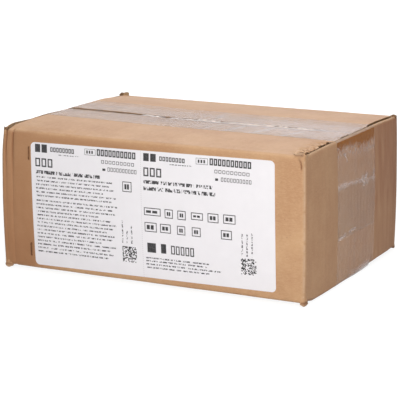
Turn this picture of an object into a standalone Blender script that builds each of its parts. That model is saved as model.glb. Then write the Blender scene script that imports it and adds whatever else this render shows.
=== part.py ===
# A taped shipping carton: one folded corrugated blank with a paper label on its front,
# a strip of clear tape over each seam and two wire stitches in the maker's joint.
# Metres, +Z up, the label faces -Y, and the carton stands on z = 0.
import bpy
import bmesh
from math import cos, exp, pi, radians, sin
from mathutils import Matrix, Vector

# Carton, measured outside from fold to fold
LENGTH = 0.260
DEPTH = 0.186
PANEL_HEIGHT = 0.1108
BOARD = 0.003             # thickness of the corrugated board
LINER = 0.0005            # paper liner on each side of the flutes
FOLD_RADIUS = 0.0025
FOLD_STEPS = 4

# Where the outer flaps end, short of the end panels' own folds
END_LIP = 0.0024          # rounded fold left outside the slot
SLOT_WIDTH = 0.0026
SEAM_GAP = 0.0012         # between the free edges of two outer flaps
SEAM_Y = 0.003            # the flaps meet a little behind the middle
FLUTE_DEPTH = 0.0015      # how far the flutes are crushed back between the liners
FLUTE_INSET = 0.004       # liners stay closed this far from a fold or a seam

# Corner ears: the board between slot and corner, which stands up when the flaps are folded
FOOT = 0.0022             # the bottom ears carry the carton, this far below its folds
EAR_WALL = 0.0022         # a little less than the lip that it stands on
EAR_ROOT = 0.0042         # the ear starts this far inside the fold
EAR_TUCK = 0.0003         # and this far behind the panels' faces
EAR_CORNER = 0.0017       # rounded tighter than the post that it stands on
EAR_SPREAD = 1.15         # crushed outwards to this much of its size at the tip
EAR_EDGE = 0.0005
# corner (x side, y side, up or down), reach along the long panel, along the end panel, rise
EARS = {
    "front_left_top": (-1, -1, 1, 0.0036, 0.0060, 0.0027),
    "front_right_top": (1, -1, 1, 0.0085, 0.0055, 0.0028),
    "back_right_top": (1, 1, 1, 0.0045, 0.0050, 0.0012),
    "back_left_top": (-1, 1, 1, 0.0080, 0.0045, 0.0026),
    "front_left_bottom": (-1, -1, -1, 0.0065, 0.0045, FOOT),
    "front_right_bottom": (1, -1, -1, 0.0045, 0.0050, FOOT),
    "back_right_bottom": (1, 1, -1, 0.0040, 0.0040, FOOT),
    "back_left_bottom": (-1, 1, -1, 0.0055, 0.0045, FOOT),
}

# Clear tape
TAPE_WIDTH = 0.075
TAPE_FILM = 0.0001
TAPE_Y = SEAM_Y           # centred on the seam that it closes
TOP_LEG = 0.0765          # down each end panel from the top fold
BOTTOM_LEG = 0.0703       # up each end panel from the bottom fold
CLEARANCE = 0.0003        # between a piece and what carries it

# Label
LABEL_WIDTH = 0.210
LABEL_HEIGHT = 0.0990
LABEL_PAPER = 0.00015
LABEL_CORNER = 0.0035
LABEL_X = 0.0017
LABEL_RISE = 0.05445      # its centre above the bottom folds
LABEL_TILT = radians(0.8)

# Wire stitches of the maker's joint
WIRE = 0.0010
STITCH_CROWN = 0.0108
STITCH_LEG = 0.0022       # how deep each leg goes into the board
STITCH_X = {"stitch_upper": -0.1062, "stitch_lower": -0.1068}
STITCH_RISE = {"stitch_upper": 0.0934, "stitch_lower": 0.0156}

# The filled carton's own shape: how far its panels move from flat
TOP_CROWN = 0.0012        # top flaps, up over the contents
LEFT_LIFT = 0.0020        # the top flaps' left ends, higher still
LIFT_START = -0.030
LIFT_EDGE = 0.84          # share of the front flap's depth that it lifts over
LIP_SHARE = 0.4           # of that lift at the end panel's fold
SEAM_STEP = 0.0009        # the front flap's free edge lies this far under the back flap's
SEAM_STEP_REACH = 0.012   # and rises back over about this depth of the flap
STEP_FADE = (0.090, 0.116)   # the two edges come level again between these, at the right
END_SHARE = 0.6           # of a crown or a sag at the two ends
BOTTOM_SAG = FOOT - CLEARANCE - TAPE_FILM
SAG_START = 0.5           # past this share of the length the right end sags down to the floor
SAG_FRONT = 0.80          # over this share of the front flap's depth
SAG_BACK = 0.42           # and of the back flap's
SAG_EDGE = 0.93           # past this share the board keeps its height, so the ears do too
PANEL_BULGE = 0.0007
POST_BULGE = 0.0008       # of the upright corners
LEFT_SPREAD = 0.0018      # the left end stands out at its front post
LEFT_FLARE = 0.0012       # more so at the foot of that post
RIGHT_SPREAD = 0.0009     # and the right end at its back post
END_FLARE = 0.0009        # both end panels stand out above the sagging bottom
END_POWER = 6             # the long panels keep their shape up to near the posts
PLATEAU = 0.5             # share of a panel that stays level
CRUSH = 0.0014            # the top left corner at the front, pushed in
CRUSH_REACH = 0.012

CELL = 0.013              # the sheets are divided this finely, so that they can bend

BASE_Z = FOOT
TOP_Z = BASE_Z + PANEL_HEIGHT
MIDDLE_Z = BASE_Z + PANEL_HEIGHT / 2
END_X = LENGTH / 2
SIDE_Y = DEPTH / 2
FLAP_END = END_X - END_LIP - SLOT_WIDTH
OVERCUT = 0.001
SNAP = 0.00005             # a corner this near to a dividing plane is taken as on it
WELD = 0.00001             # corners nearer to each other than this become one


def swell(share):
    """1 on the level middle of a panel, falling smoothly to 0 at its edge."""
    past = (abs(share) - PLATEAU) / (1 - PLATEAU)
    if past <= 0:
        return 1.0
    return 0.5 * (1 + cos(pi * min(past, 1)))


def ramp(value, start, end):
    part = min(max((value - start) / (end - start), 0), 1)
    return part * part * (3 - 2 * part)


def settle(point):
    """Moves a point of the flat-sided carton to where the filled carton has it."""
    along, across = point.x / END_X, point.y / SIDE_Y
    level = (point.z - MIDDLE_Z) / (PANEL_HEIGHT / 2)
    middle = max(1 - level * level, 0)
    endways = END_SHARE + (1 - END_SHARE) * swell(along)

    flare = END_FLARE * max(-level, 0) ** 2 * swell(across)
    if along < 0:
        spread = (LEFT_SPREAD + LEFT_FLARE * (1 - level) / 2) * (1 - across) / 2
    else:
        spread = RIGHT_SPREAD * (1 + across) / 2
    swollen = middle * (POST_BULGE + PANEL_BULGE * swell(across))
    bulge_x = abs(along) ** END_POWER * (swollen + spread + flare)
    bulge_y = middle * abs(across) ** 3 * (POST_BULGE + PANEL_BULGE * swell(along))

    lift = LEFT_LIFT * min(max((LIFT_START - point.x) / (END_X + LIFT_START), 0), 1)
    lift *= 1 - (1 - LIP_SHARE) * ramp(-point.x, FLAP_END, FLAP_END + SLOT_WIDTH)
    lift *= 1 - ramp(-across, LIFT_EDGE, 1) if across < 0 else swell(across)
    rise = max(level, 0) ** 2 * (swell(across) * TOP_CROWN * endways + lift)
    step = SEAM_STEP * ramp(SEAM_Y - point.y, -SEAM_GAP / 2, SEAM_GAP / 2)
    step *= exp(-max(SEAM_Y - point.y, 0) / SEAM_STEP_REACH) * (1 - ramp(point.x, *STEP_FADE))
    rise -= max(level, 0) ** 2 * step * (1 - ramp(-point.x, FLAP_END, END_X))

    floored = ramp(along, SAG_START, 1)
    reach = 1 - ramp(abs(across), SAG_FRONT if across < 0 else SAG_BACK, SAG_EDGE)
    sag = swell(across / SAG_EDGE) * endways * (1 - floored) + reach * floored
    drop = max(-level, 0) ** 2 * BOTTOM_SAG * sag

    corner = Vector((-END_X, -SIDE_Y, TOP_Z))
    crush = CRUSH * exp(-((point - corner).length / CRUSH_REACH) ** 2)
    return Vector((
        point.x + bulge_x * (1 if point.x > 0 else -1) + crush,
        point.y + bulge_y * (1 if point.y > 0 else -1),
        point.z + rise - drop,
    ))


def clear_scene():
    for item in list(bpy.data.objects):
        bpy.data.objects.remove(item, do_unlink=True)


def make_collection(name):
    group = bpy.data.collections.new(name)
    bpy.context.scene.collection.children.link(group)
    return group


def make_material(name, colour, roughness, metallic=0.0, alpha=1.0):
    finish = bpy.data.materials.new(name)
    finish.use_nodes = True
    shader = finish.node_tree.nodes["Principled BSDF"]
    shader.inputs["Base Color"].default_value = (*colour, 1)
    shader.inputs["Roughness"].default_value = roughness
    shader.inputs["Metallic"].default_value = metallic
    shader.inputs["Alpha"].default_value = alpha
    finish.diffuse_color = (*colour, 1)
    return finish


def add_object(name, mesh, group, material=None):
    item = bpy.data.objects.new(name, mesh)
    group.objects.link(item)
    if material:
        mesh.materials.append(material)
    return item


def mesh_from(shape, name):
    mesh = bpy.data.meshes.new(name)
    shape.to_mesh(mesh)
    shape.free()
    return mesh


def block(low, high):
    """A bmesh box between two corners."""
    low, high = Vector(low), Vector(high)
    shape = bmesh.new()
    place = Matrix.Translation((low + high) / 2) @ Matrix.Diagonal((*(high - low), 1))
    bmesh.ops.create_cube(shape, size=1, matrix=place)
    return shape


def as_cutter(name, shape):
    cutter = add_object(name, mesh_from(shape, name), cutters)
    cutter.hide_render = True
    cutter.display_type = "WIRE"
    return cutter


def combine(item, tool, operation):
    boolean = item.modifiers.new(tool.name, "BOOLEAN")
    boolean.operation = operation
    boolean.solver = "EXACT"
    boolean.object = tool


def divide(shape):
    """Cuts the faces at regular planes and at the slots, so that settle() can bend them."""
    low, high = (-END_X, -SIDE_Y, BASE_Z), (END_X, SIDE_Y, TOP_Z)
    for axis in range(3):
        normal = Vector((0, 0, 0))
        normal[axis] = 1
        count = max(round((high[axis] - low[axis]) / CELL), 1)
        stations = [low[axis] + (high[axis] - low[axis]) * step / count for step in range(1, count)]
        if axis == 0:
            stations += [side * x for side in (-1, 1) for x in (FLAP_END, FLAP_END + SLOT_WIDTH)]
        if axis == 1:
            stations += [SEAM_Y - SEAM_GAP / 2, SEAM_Y + SEAM_GAP / 2]
        for station in stations:
            everything = shape.verts[:] + shape.edges[:] + shape.faces[:]
            bmesh.ops.bisect_plane(
                shape, geom=everything, dist=SNAP, plane_co=normal * station, plane_no=normal
            )


def weld(shape):
    bmesh.ops.remove_doubles(shape, verts=shape.verts[:], dist=WELD)
    bmesh.ops.dissolve_degenerate(shape, dist=WELD, edges=shape.edges[:])


def bend(shape):
    bmesh.ops.triangulate(shape, faces=shape.faces[:])
    for vertex in shape.verts:
        vertex.co = settle(vertex.co)


def smooth(mesh, angle=35):
    mesh.shade_smooth()
    mesh.set_sharp_from_angle(angle=radians(angle))


# The folded blank

def slot_cutters():
    """Slots between each end panel's fold and the raw ends of the outer flaps, top and bottom."""
    for side in (-1, 1):
        near, far = sorted((side * FLAP_END, side * (FLAP_END + SLOT_WIDTH)))
        for name, low, high in (
            ("top", TOP_Z - BOARD, TOP_Z + OVERCUT),
            ("bottom", BASE_Z - OVERCUT, BASE_Z + BOARD),
        ):
            yield as_cutter(
                f"slot_{name}_{side}",
                block((near, -SIDE_Y - OVERCUT, low), (far, SIDE_Y + OVERCUT, high)),
            )


def seam_cutters():
    """The gap between the free edges of the two outer flaps, top and bottom."""
    reach = FLAP_END + SLOT_WIDTH / 2
    for name, low, high in (
        ("top", TOP_Z - BOARD, TOP_Z + OVERCUT),
        ("bottom", BASE_Z - OVERCUT, BASE_Z + BOARD),
    ):
        yield as_cutter(
            f"seam_{name}",
            block((-reach, SEAM_Y - SEAM_GAP / 2, low), (reach, SEAM_Y + SEAM_GAP / 2, high)),
        )


def flute_cutters():
    """The open channel between the liners along each outer flap's raw end."""
    front = (-SIDE_Y + FLUTE_INSET, SEAM_Y - FLUTE_INSET)
    back = (SEAM_Y + FLUTE_INSET, SIDE_Y - FLUTE_INSET)
    for side in (-1, 1):
        near, far = sorted((side * (FLAP_END - FLUTE_DEPTH), side * (FLAP_END + SLOT_WIDTH / 2)))
        for flap, (start, end) in (("front", front), ("back", back)):
            for name, low, high in (
                ("top", TOP_Z - BOARD + LINER, TOP_Z - LINER),
                ("bottom", BASE_Z + LINER, BASE_Z + BOARD - LINER),
            ):
                yield as_cutter(
                    f"flutes_{flap}_{name}_{side}",
                    block((near, start, low), (far, end, high)),
                )


def stitch_cutters():
    """The holes that the wire's legs pierce in the front panel."""
    reach = WIRE / 2 + CLEARANCE
    for name, x in STITCH_X.items():
        for end in (-1, 1):
            z = BASE_Z + STITCH_RISE[name] + end * (STITCH_CROWN - WIRE) / 2
            shape = bmesh.new()
            depth = STITCH_LEG + CLEARANCE + OVERCUT
            middle = -SIDE_Y - OVERCUT + depth / 2
            place = Matrix.Translation((x, middle, z)) @ Matrix.Rotation(pi / 2, 4, "X")
            bmesh.ops.create_cone(
                shape, cap_ends=True, segments=10, radius1=reach, radius2=reach, depth=depth, matrix=place
            )
            yield as_cutter(f"{name}_hole_{end}", shape)


def ear(name, side_x, side_y, way, reach_x, reach_y, rise):
    """An L of board round a corner, which stands past the fold and spreads outwards."""
    fold_z = TOP_Z if way > 0 else BASE_Z
    face_x, face_y = END_X - EAR_TUCK, SIDE_Y - EAR_TUCK
    inner_x, inner_y = END_X - EAR_WALL, SIDE_Y - EAR_WALL
    outline = [
        (face_x - EAR_CORNER + EAR_CORNER * cos(turn), face_y - EAR_CORNER + EAR_CORNER * sin(turn))
        for turn in (pi / 2 * step / FOLD_STEPS for step in range(FOLD_STEPS + 1))
    ]
    outline += [
        (END_X - reach_x, face_y),
        (END_X - reach_x, inner_y),
        (inner_x, inner_y),
        (inner_x, SIDE_Y - reach_y),
        (face_x, SIDE_Y - reach_y),
    ]
    shape = bmesh.new()
    floor = shape.faces.new(
        [shape.verts.new((side_x * x, side_y * y, fold_z - way * EAR_ROOT)) for x, y in outline]
    )
    grown = bmesh.ops.extrude_face_region(shape, geom=[floor])["geom"]
    tip = [part for part in grown if isinstance(part, bmesh.types.BMVert)]
    inner = Matrix.Translation((-side_x * inner_x, -side_y * inner_y, 0))
    bmesh.ops.scale(shape, vec=(EAR_SPREAD, EAR_SPREAD, 1), space=inner, verts=tip)
    for vertex in tip:
        vertex.co.z = fold_z + way * rise
    rim = [edge for edge in shape.edges if all(vertex in tip for vertex in edge.verts)]
    bmesh.ops.bevel(shape, geom=rim, offset=EAR_EDGE, segments=2, profile=0.5, affect="EDGES")
    bmesh.ops.recalc_face_normals(shape, faces=shape.faces[:])
    return as_cutter(f"ear_{name}", shape)


def make_carton(material):
    shape = block((-END_X, -SIDE_Y, BASE_Z), (END_X, SIDE_Y, TOP_Z))
    bmesh.ops.bevel(
        shape, geom=shape.edges[:], offset=FOLD_RADIUS, segments=FOLD_STEPS, profile=0.5, affect="EDGES"
    )
    blank = add_object("flat_sided", mesh_from(shape, "flat_sided"), cutters)
    blank.hide_render = True
    blank.display_type = "WIRE"
    for family in (slot_cutters, seam_cutters, flute_cutters, stitch_cutters):
        for cutter in family():
            combine(blank, cutter, "DIFFERENCE")
    for name, corner in EARS.items():
        combine(blank, ear(name, *corner), "UNION")

    folded = blank.evaluated_get(bpy.context.evaluated_depsgraph_get())
    shape = bmesh.new()
    shape.from_mesh(folded.to_mesh())
    folded.to_mesh_clear()
    weld(shape)
    divide(shape)
    weld(shape)
    bend(shape)
    mesh = mesh_from(shape, "carton")
    smooth(mesh)
    return add_object("carton", mesh, pieces, material)


# Tape

def arc(centre_x, centre_z, radius, start, end):
    return [
        (
            centre_x + radius * cos(start + (end - start) * step / FOLD_STEPS),
            centre_z + radius * sin(start + (end - start) * step / FOLD_STEPS),
        )
        for step in range(FOLD_STEPS + 1)
    ]


def tape_route(way, gap, leg, step_out=0.0, step_at=0.0):
    """Half of a strip's run in XZ: from mid length, over a fold and down or up an end panel.

    way is 1 over the top and -1 under the bottom. Past step_at of its leg the strip
    lies step_out further from the panel, because it covers the other strip's end.
    """
    fold_z = TOP_Z if way > 0 else BASE_Z
    centre_z = fold_z - way * FOLD_RADIUS
    route = [(0, fold_z + way * gap)]
    route += arc(END_X - FOLD_RADIUS, centre_z, FOLD_RADIUS + gap, way * pi / 2, 0)
    if step_out:
        route.append((END_X + gap, fold_z - way * (step_at - step_out * 4)))
        route.append((END_X + gap + step_out, fold_z - way * step_at))
    route.append((END_X + gap + step_out, fold_z - way * leg))
    return route


def make_tape(name, route, material):
    points = [(-x, z) for x, z in reversed(route)] + route[1:]
    shape = bmesh.new()
    start = [shape.verts.new((x, TAPE_Y - TAPE_WIDTH / 2, z)) for x, z in points]
    edges = [shape.edges.new(pair) for pair in zip(start, start[1:])]
    swept = bmesh.ops.extrude_edge_only(shape, edges=edges)["geom"]
    for part in swept:
        if isinstance(part, bmesh.types.BMVert):
            part.co.y += TAPE_WIDTH
    divide(shape)
    bend(shape)
    bmesh.ops.recalc_face_normals(shape, faces=shape.faces[:])
    centre = Vector((0, 0, MIDDLE_Z))
    if sum(face.normal.dot(face.calc_center_median() - centre) for face in shape.faces) < 0:
        bmesh.ops.reverse_faces(shape, faces=shape.faces[:])
    tape = add_object(name, mesh_from(shape, name), pieces, material)
    film = tape.modifiers.new("film", "SOLIDIFY")
    film.thickness = TAPE_FILM
    film.offset = 1
    film.use_even_offset = True
    return tape


# Label

def make_label(material):
    """A rounded sheet on the front panel, stuck on a little askew."""
    half_x, half_z = LABEL_WIDTH / 2 - LABEL_CORNER, LABEL_HEIGHT / 2 - LABEL_CORNER
    outline = []
    for turn, (side, way) in enumerate(((1, 1), (-1, 1), (-1, -1), (1, -1))):
        outline += arc(side * half_x, way * half_z, LABEL_CORNER, turn * pi / 2, (turn + 1) * pi / 2)
    shape = bmesh.new()
    face = shape.faces.new([shape.verts.new((x, 0, z)) for x, z in outline])
    grown = bmesh.ops.extrude_face_region(shape, geom=[face])["geom"]
    for part in grown:
        if isinstance(part, bmesh.types.BMVert):
            part.co.y -= LABEL_PAPER
    bmesh.ops.recalc_face_normals(shape, faces=shape.faces[:])
    place = Matrix.Translation((LABEL_X, -SIDE_Y - CLEARANCE, BASE_Z + LABEL_RISE))
    bmesh.ops.transform(shape, matrix=place @ Matrix.Rotation(-LABEL_TILT, 4, "Y"), verts=shape.verts[:])
    divide(shape)
    bend(shape)
    return add_object("label", mesh_from(shape, "label"), pieces, material)


# Stitches

def make_stitch(name, material):
    """A staple of round wire: its crown lies on the panel and its legs go into the board."""
    x, middle = STITCH_X[name], BASE_Z + STITCH_RISE[name]
    half = (STITCH_CROWN - WIRE) / 2
    crown_y = -SIDE_Y - CLEARANCE - WIRE / 2
    inner_y = -SIDE_Y + STITCH_LEG
    bend_in = WIRE / 2
    route = [
        (x, inner_y, middle + half),
        (x, crown_y + bend_in, middle + half),
        (x, crown_y, middle + half - bend_in),
        (x, crown_y, middle - half + bend_in),
        (x, crown_y + bend_in, middle - half),
        (x, inner_y, middle - half),
    ]
    curve = bpy.data.curves.new(name, "CURVE")
    curve.dimensions = "3D"
    curve.bevel_depth = WIRE / 2
    curve.bevel_resolution = 2
    curve.use_fill_caps = True
    wire = curve.splines.new("POLY")
    wire.points.add(len(route) - 1)
    for point, place in zip(wire.points, route):
        point.co = (*settle(Vector(place)), 1)
    return add_object(name, curve, pieces, material)


clear_scene()
pieces = make_collection("taped_shipping_carton")
cutters = make_collection("cutters")

kraft = make_material("kraft_board", (0.50, 0.33, 0.21), 0.85)
clear_film = make_material("clear_film", (0.55, 0.47, 0.42), 0.25, alpha=0.4)
coated_paper = make_material("coated_paper", (0.82, 0.82, 0.84), 0.5)
stitching_wire = make_material("stitching_wire", (0.13, 0.09, 0.06), 0.45, metallic=0.8)

make_carton(kraft)
make_label(coated_paper)
make_tape("bottom_tape", tape_route(-1, CLEARANCE, BOTTOM_LEG), clear_film)
overlap_from = PANEL_HEIGHT - BOTTOM_LEG - CLEARANCE
top_route = tape_route(1, CLEARANCE, TOP_LEG, step_out=TAPE_FILM + CLEARANCE, step_at=overlap_from)
make_tape("top_tape", top_route, clear_film)
for stitch in STITCH_X:
    make_stitch(stitch, stitching_wire)
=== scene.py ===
import math
import random

import bmesh
import bpy
from mathutils import Matrix, Vector, noise


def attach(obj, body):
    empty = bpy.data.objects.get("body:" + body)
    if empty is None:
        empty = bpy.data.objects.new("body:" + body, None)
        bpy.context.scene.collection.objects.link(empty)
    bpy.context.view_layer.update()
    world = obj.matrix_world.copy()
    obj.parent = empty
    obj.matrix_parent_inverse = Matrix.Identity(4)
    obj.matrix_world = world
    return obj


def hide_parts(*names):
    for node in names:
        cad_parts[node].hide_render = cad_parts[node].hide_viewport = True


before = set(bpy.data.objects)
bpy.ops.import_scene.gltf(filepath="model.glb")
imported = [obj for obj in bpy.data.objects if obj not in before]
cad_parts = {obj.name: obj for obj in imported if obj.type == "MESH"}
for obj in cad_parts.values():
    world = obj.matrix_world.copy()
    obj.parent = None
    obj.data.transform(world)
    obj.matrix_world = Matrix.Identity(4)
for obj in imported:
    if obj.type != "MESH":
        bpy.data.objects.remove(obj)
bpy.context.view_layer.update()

noise.seed_set(4)   # unseeded, noise vectors start from the clock

# The folded board's measures in metres, the same as in the part's source
board = {
    "length": 0.260, "depth": 0.186, "panelHeight": 0.1108, "thickness": 0.003, "liner": 0.0005,
    "foot": 0.0022,            # the bottom ears hold the folds this far off the floor
    "readFrom": 0.0025,        # heights of print and tape marks are read from here
    "foldRadius": 0.0025, "foldSteps": 4,
    "endLip": 0.0024, "slotWidth": 0.0026, "seamGap": 0.0012, "seamY": 0.003,
    "flutePitch": 0.0065,      # B flute, about 155 to the metre
    "fluteDepth": 0.0015,
}
endX = board["length"] / 2
sideY = board["depth"] / 2
baseZ = board["foot"]
topZ = baseZ + board["panelHeight"]
middleZ = (baseZ + topZ) / 2
lipFrom = endX - board["endLip"]
flapEnd = lipFrom - board["slotWidth"]
radius = board["foldRadius"]

# How the filled carton stands away from flat sides, as in the part's source
filled = {
    "topCrown": 0.0012, "leftLift": 0.0020, "liftStart": -0.030, "liftEdge": 0.84, "lipShare": 0.4,
    "seamStep": 0.0009, "seamStepReach": 0.012, "stepFade": (0.090, 0.116), "endShare": 0.6,
    "bottomSag": 0.0018, "sagStart": 0.5, "sagFront": 0.80, "sagBack": 0.42, "sagEdge": 0.93,
    "panelBulge": 0.0007, "postBulge": 0.0008, "leftSpread": 0.0018, "leftFlare": 0.0012,
    "rightSpread": 0.0009, "endFlare": 0.0009, "endPower": 6, "plateau": 0.5,
    "crush": 0.0014, "crushReach": 0.012,
}

# What handling has done to it since
handling = {
    "unevenDepth": 0.00032, "unevenSize": 0.036,
    "washboardDepth": 0.00007,
    "postCreases": [(-0.1205, 0.0008, 0.0017), (-0.1262, 0.0006, 0.0013)],   # x, width, depth
    "postCreaseFrom": 0.070,
    "cornerCrease": (0.1268, 0.0006, 0.0010), "cornerCrush": 0.0016, "cornerReach": 0.007,
    "crumpleSize": 0.0030, "crumpleDepth": 0.0011, "toothSize": 0.0026, "toothDepth": 0.0015,
    "tornCuts": 0.0009, "lipWorn": 0.0008,
    # how far the top flaps' right end has slid towards the end panel, by y
    "slid": [
        (-0.093, -0.0004), (-0.085, 0.0005), (-0.058, 0.0007), (-0.042, 0.0012), (-0.036, 0.0021),
        (-0.024, 0.0021), (-0.021, 0.0008), (-0.004, 0.0007), (-0.001, 0.0021), (0.004, 0.0013),
        (0.032, 0.0012), (0.040, -0.0012), (0.080, -0.0016), (0.093, 0),
    ],
    # how far the right end panel's lower edge is pushed up, by y
    "edgeUp": [
        (0.004, 0), (0.016, 0.0004), (0.028, 0.0010), (0.036, 0.0015), (0.052, 0.0015), (0.062, 0.0009),
        (0.076, 0),
    ],
    # how far the left end panel's fold stands up, by y
    "leftProud": [
        (-0.093, 0), (-0.090, 0.0009), (-0.086, 0.0018), (-0.080, 0.0019), (-0.075, 0.0018),
        (-0.070, 0.0014), (-0.062, 0.0009), (-0.054, 0.0004), (-0.044, 0.0007), (-0.030, 0.0009),
        (-0.010, 0.0003), (0.010, 0),
    ],
}
flapsFrom = topZ - 0.0045      # the top flaps and their folds are above this
frontSkin = -sideY + 0.004     # the front panel and its folds are before this


def swell(share):
    past = (abs(share) - filled["plateau"]) / (1 - filled["plateau"])
    return 1.0 if past <= 0 else 0.5 * (1 + math.cos(math.pi * min(past, 1)))


def ramp(value, start, end):
    part = min(max((value - start) / (end - start), 0), 1)
    return part * part * (3 - 2 * part)


def hump(value, middle, width):
    return math.exp(-((value - middle) / width) ** 2)


def readOff(profile, distance):   # a value read off a list of (distance, value)
    last = profile[0]
    for here in profile:
        if distance <= here[0]:
            reach = max(here[0] - last[0], 1e-6)
            return last[1] + (here[1] - last[1]) * min(max((distance - last[0]) / reach, 0), 1)
        last = here
    return last[1]


def settle(place):   # flat-sided carton to filled carton
    along, across = place.x / endX, place.y / sideY
    level = (place.z - middleZ) / (board["panelHeight"] / 2)
    middle = max(1 - level * level, 0)
    endways = filled["endShare"] + (1 - filled["endShare"]) * swell(along)
    flare = filled["endFlare"] * max(-level, 0) ** 2 * swell(across)
    if along < 0:
        spread = (filled["leftSpread"] + filled["leftFlare"] * (1 - level) / 2) * (1 - across) / 2
    else:
        spread = filled["rightSpread"] * (1 + across) / 2
    swollen = middle * (filled["postBulge"] + filled["panelBulge"] * swell(across))
    bulgeX = abs(along) ** filled["endPower"] * (swollen + spread + flare)
    bulgeY = middle * abs(across) ** 3 * (filled["postBulge"] + filled["panelBulge"] * swell(along))
    liftStart = filled["liftStart"]
    lift = filled["leftLift"] * min(max((liftStart - place.x) / (endX + liftStart), 0), 1)
    lift *= 1 - (1 - filled["lipShare"]) * ramp(-place.x, flapEnd, flapEnd + board["slotWidth"])
    lift *= 1 - ramp(-across, filled["liftEdge"], 1) if across < 0 else swell(across)
    rise = max(level, 0) ** 2 * (swell(across) * filled["topCrown"] * endways + lift)
    before = board["seamY"] - place.y
    step = filled["seamStep"] * ramp(before, -board["seamGap"] / 2, board["seamGap"] / 2)
    step *= math.exp(-max(before, 0) / filled["seamStepReach"]) * (1 - ramp(place.x, *filled["stepFade"]))
    rise -= max(level, 0) ** 2 * step * (1 - ramp(-place.x, flapEnd, endX))
    floored = ramp(along, filled["sagStart"], 1)
    reach = 1 - ramp(abs(across), filled["sagFront"] if across < 0 else filled["sagBack"], filled["sagEdge"])
    sag = swell(across / filled["sagEdge"]) * endways * (1 - floored) + reach * floored
    drop = max(-level, 0) ** 2 * filled["bottomSag"] * sag
    fromCorner = (place - Vector((-endX, -sideY, topZ))).length
    crush = filled["crush"] * math.exp(-((fromCorner / filled["crushReach"]) ** 2))
    return Vector((
        place.x + math.copysign(bulgeX, place.x) + crush,
        place.y + math.copysign(bulgeY, place.y),
        place.z + rise - drop,
    ))


def panelGaps(place):   # how far inside each pair of panels the place is
    return (endX - abs(place.x), sideY - abs(place.y), board["panelHeight"] / 2 - abs(place.z - middleZ))


def foldGap(place):   # along the surface to the nearest fold
    return sorted(panelGaps(place))[1]


def acrossFlutes(place):   # the flutes run up the walls and on over the flaps
    onEnd = abs(place.x) > endX - 0.0015 and place.z < topZ - 0.0015
    return place.y if onEnd else place.x


def cornerCreaseShare(place):   # the crease that the crushed right front corner has left below it
    if place.y > frontSkin or place.x < 0.12:
        return 0.0
    x, width = handling["cornerCrease"][:2]
    x -= 0.0016 * ramp(place.z, 0.1060, 0.1105)
    return hump(place.x, x, width) * ramp(place.z, 0.1015, 0.1040) * (1 - ramp(place.z, 0.1105, 0.1120))


def pressed(place):   # how deep the board is pushed in here
    depth = handling["unevenDepth"] * (0.5 + 0.5 * noise.noise(place / handling["unevenSize"]))
    turn = 2 * math.pi * acrossFlutes(place) / board["flutePitch"]
    flat = ramp(foldGap(place), 0.002, 0.008)
    depth += handling["washboardDepth"] * flat * 0.5 * (1 - math.cos(turn))
    if place.y < frontSkin and place.x < -0.11:
        fade = 0.25 + 0.75 * ramp(place.z, handling["postCreaseFrom"], handling["postCreaseFrom"] + 0.025)
        for x, width, deep in handling["postCreases"]:
            depth += deep * fade * hump(place.x, x, width)
    return depth + cornerCreaseShare(place) * handling["cornerCrease"][2]


def tornShare(place):   # 1 at the near flap's torn right end, where it has been crushed
    if place.x < 0.100 or place.y > -0.004 or place.z < flapsFrom or place.x > flapEnd + 0.001:
        return 0.0
    along = ramp(-place.y, 0.037, 0.044) * (1 - ramp(-place.y, 0.0860, 0.0905))
    along += 0.25 * hump(place.y, -0.012, 0.006)
    return ramp(place.x, 0.108, flapEnd) * min(along, 1)


def rest(place):   # where a point of the flat-sided carton has come to rest
    gaps = panelGaps(place)
    depth = pressed(place)
    moved = settle(place)
    for axis in range(3):
        share = 1 - ramp(gaps[axis], 0.0008, 0.0026)
        side = -1 if (place[axis] - (middleZ if axis == 2 else 0)) > 0 else 1
        moved[axis] += side * depth * share
    torn = tornShare(place)
    if torn:
        crumple = noise.noise(Vector((place.x, place.y, 0)) / handling["crumpleSize"])
        moved.z += torn * handling["crumpleDepth"] * (1.6 * crumple - 0.15)
        tooth = noise.noise(Vector((0, place.y / handling["toothSize"], 3.1)))
        tooth += 0.9 * noise.noise(Vector((0, place.y / handling["toothSize"] * 3, 7.7)))
        moved.x -= torn ** 2 * handling["toothDepth"] * min(max(0.34 + 1.2 * tooth, 0), 1)
    if place.z > flapsFrom and place.x > 0.110:
        slid = ramp(place.x, 0.112, flapEnd)
        moved.x += readOff(handling["slid"], place.y) * slid * (1 - ramp(place.x, flapEnd + 0.0002, lipFrom))
        moved.x += handling["lipWorn"] * slid * (1 - ramp(place.x, lipFrom + 0.0001, endX - 0.0004))
    if place.x < -flapEnd and place.z > middleZ:
        proud = readOff(handling["leftProud"], place.y) * ramp(-place.x, flapEnd + 0.0016, lipFrom)
        moved.z += proud * ramp(place.z, 0.096, topZ - 0.0030)
    if place.x > 0.118 and place.z < middleZ:
        edgeUp = readOff(handling["edgeUp"], place.y) * ramp(place.x, 0.118, 0.127)
        moved.z += edgeUp * (1 - ramp(place.z, baseZ + 0.003, baseZ + 0.020))
    fromCorner = (place - Vector((endX, -sideY, topZ))).length / handling["cornerReach"]
    if fromCorner < 3:
        moved.z -= handling["cornerCrush"] * math.exp(-fromCorner ** 2)
    return moved


# Modelling helpers

def lookOnly():
    if bpy.context.object and bpy.context.object.mode != "OBJECT":
        bpy.ops.object.mode_set(mode="OBJECT")
    bpy.ops.object.select_all(action="DESELECT")


def choose(item):
    lookOnly()
    bpy.context.view_layer.objects.active = item
    item.select_set(True)


def edit(item):
    choose(item)
    bpy.ops.object.mode_set(mode="EDIT")


def addBlock(name, low, high):
    lookOnly()
    low, high = Vector(low), Vector(high)
    bpy.ops.mesh.primitive_cube_add(size=1, location=(low + high) / 2, scale=high - low)
    bpy.ops.object.transform_apply(location=True, rotation=True, scale=True)
    item = bpy.context.object
    item.name = item.data.name = name
    return item


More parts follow.
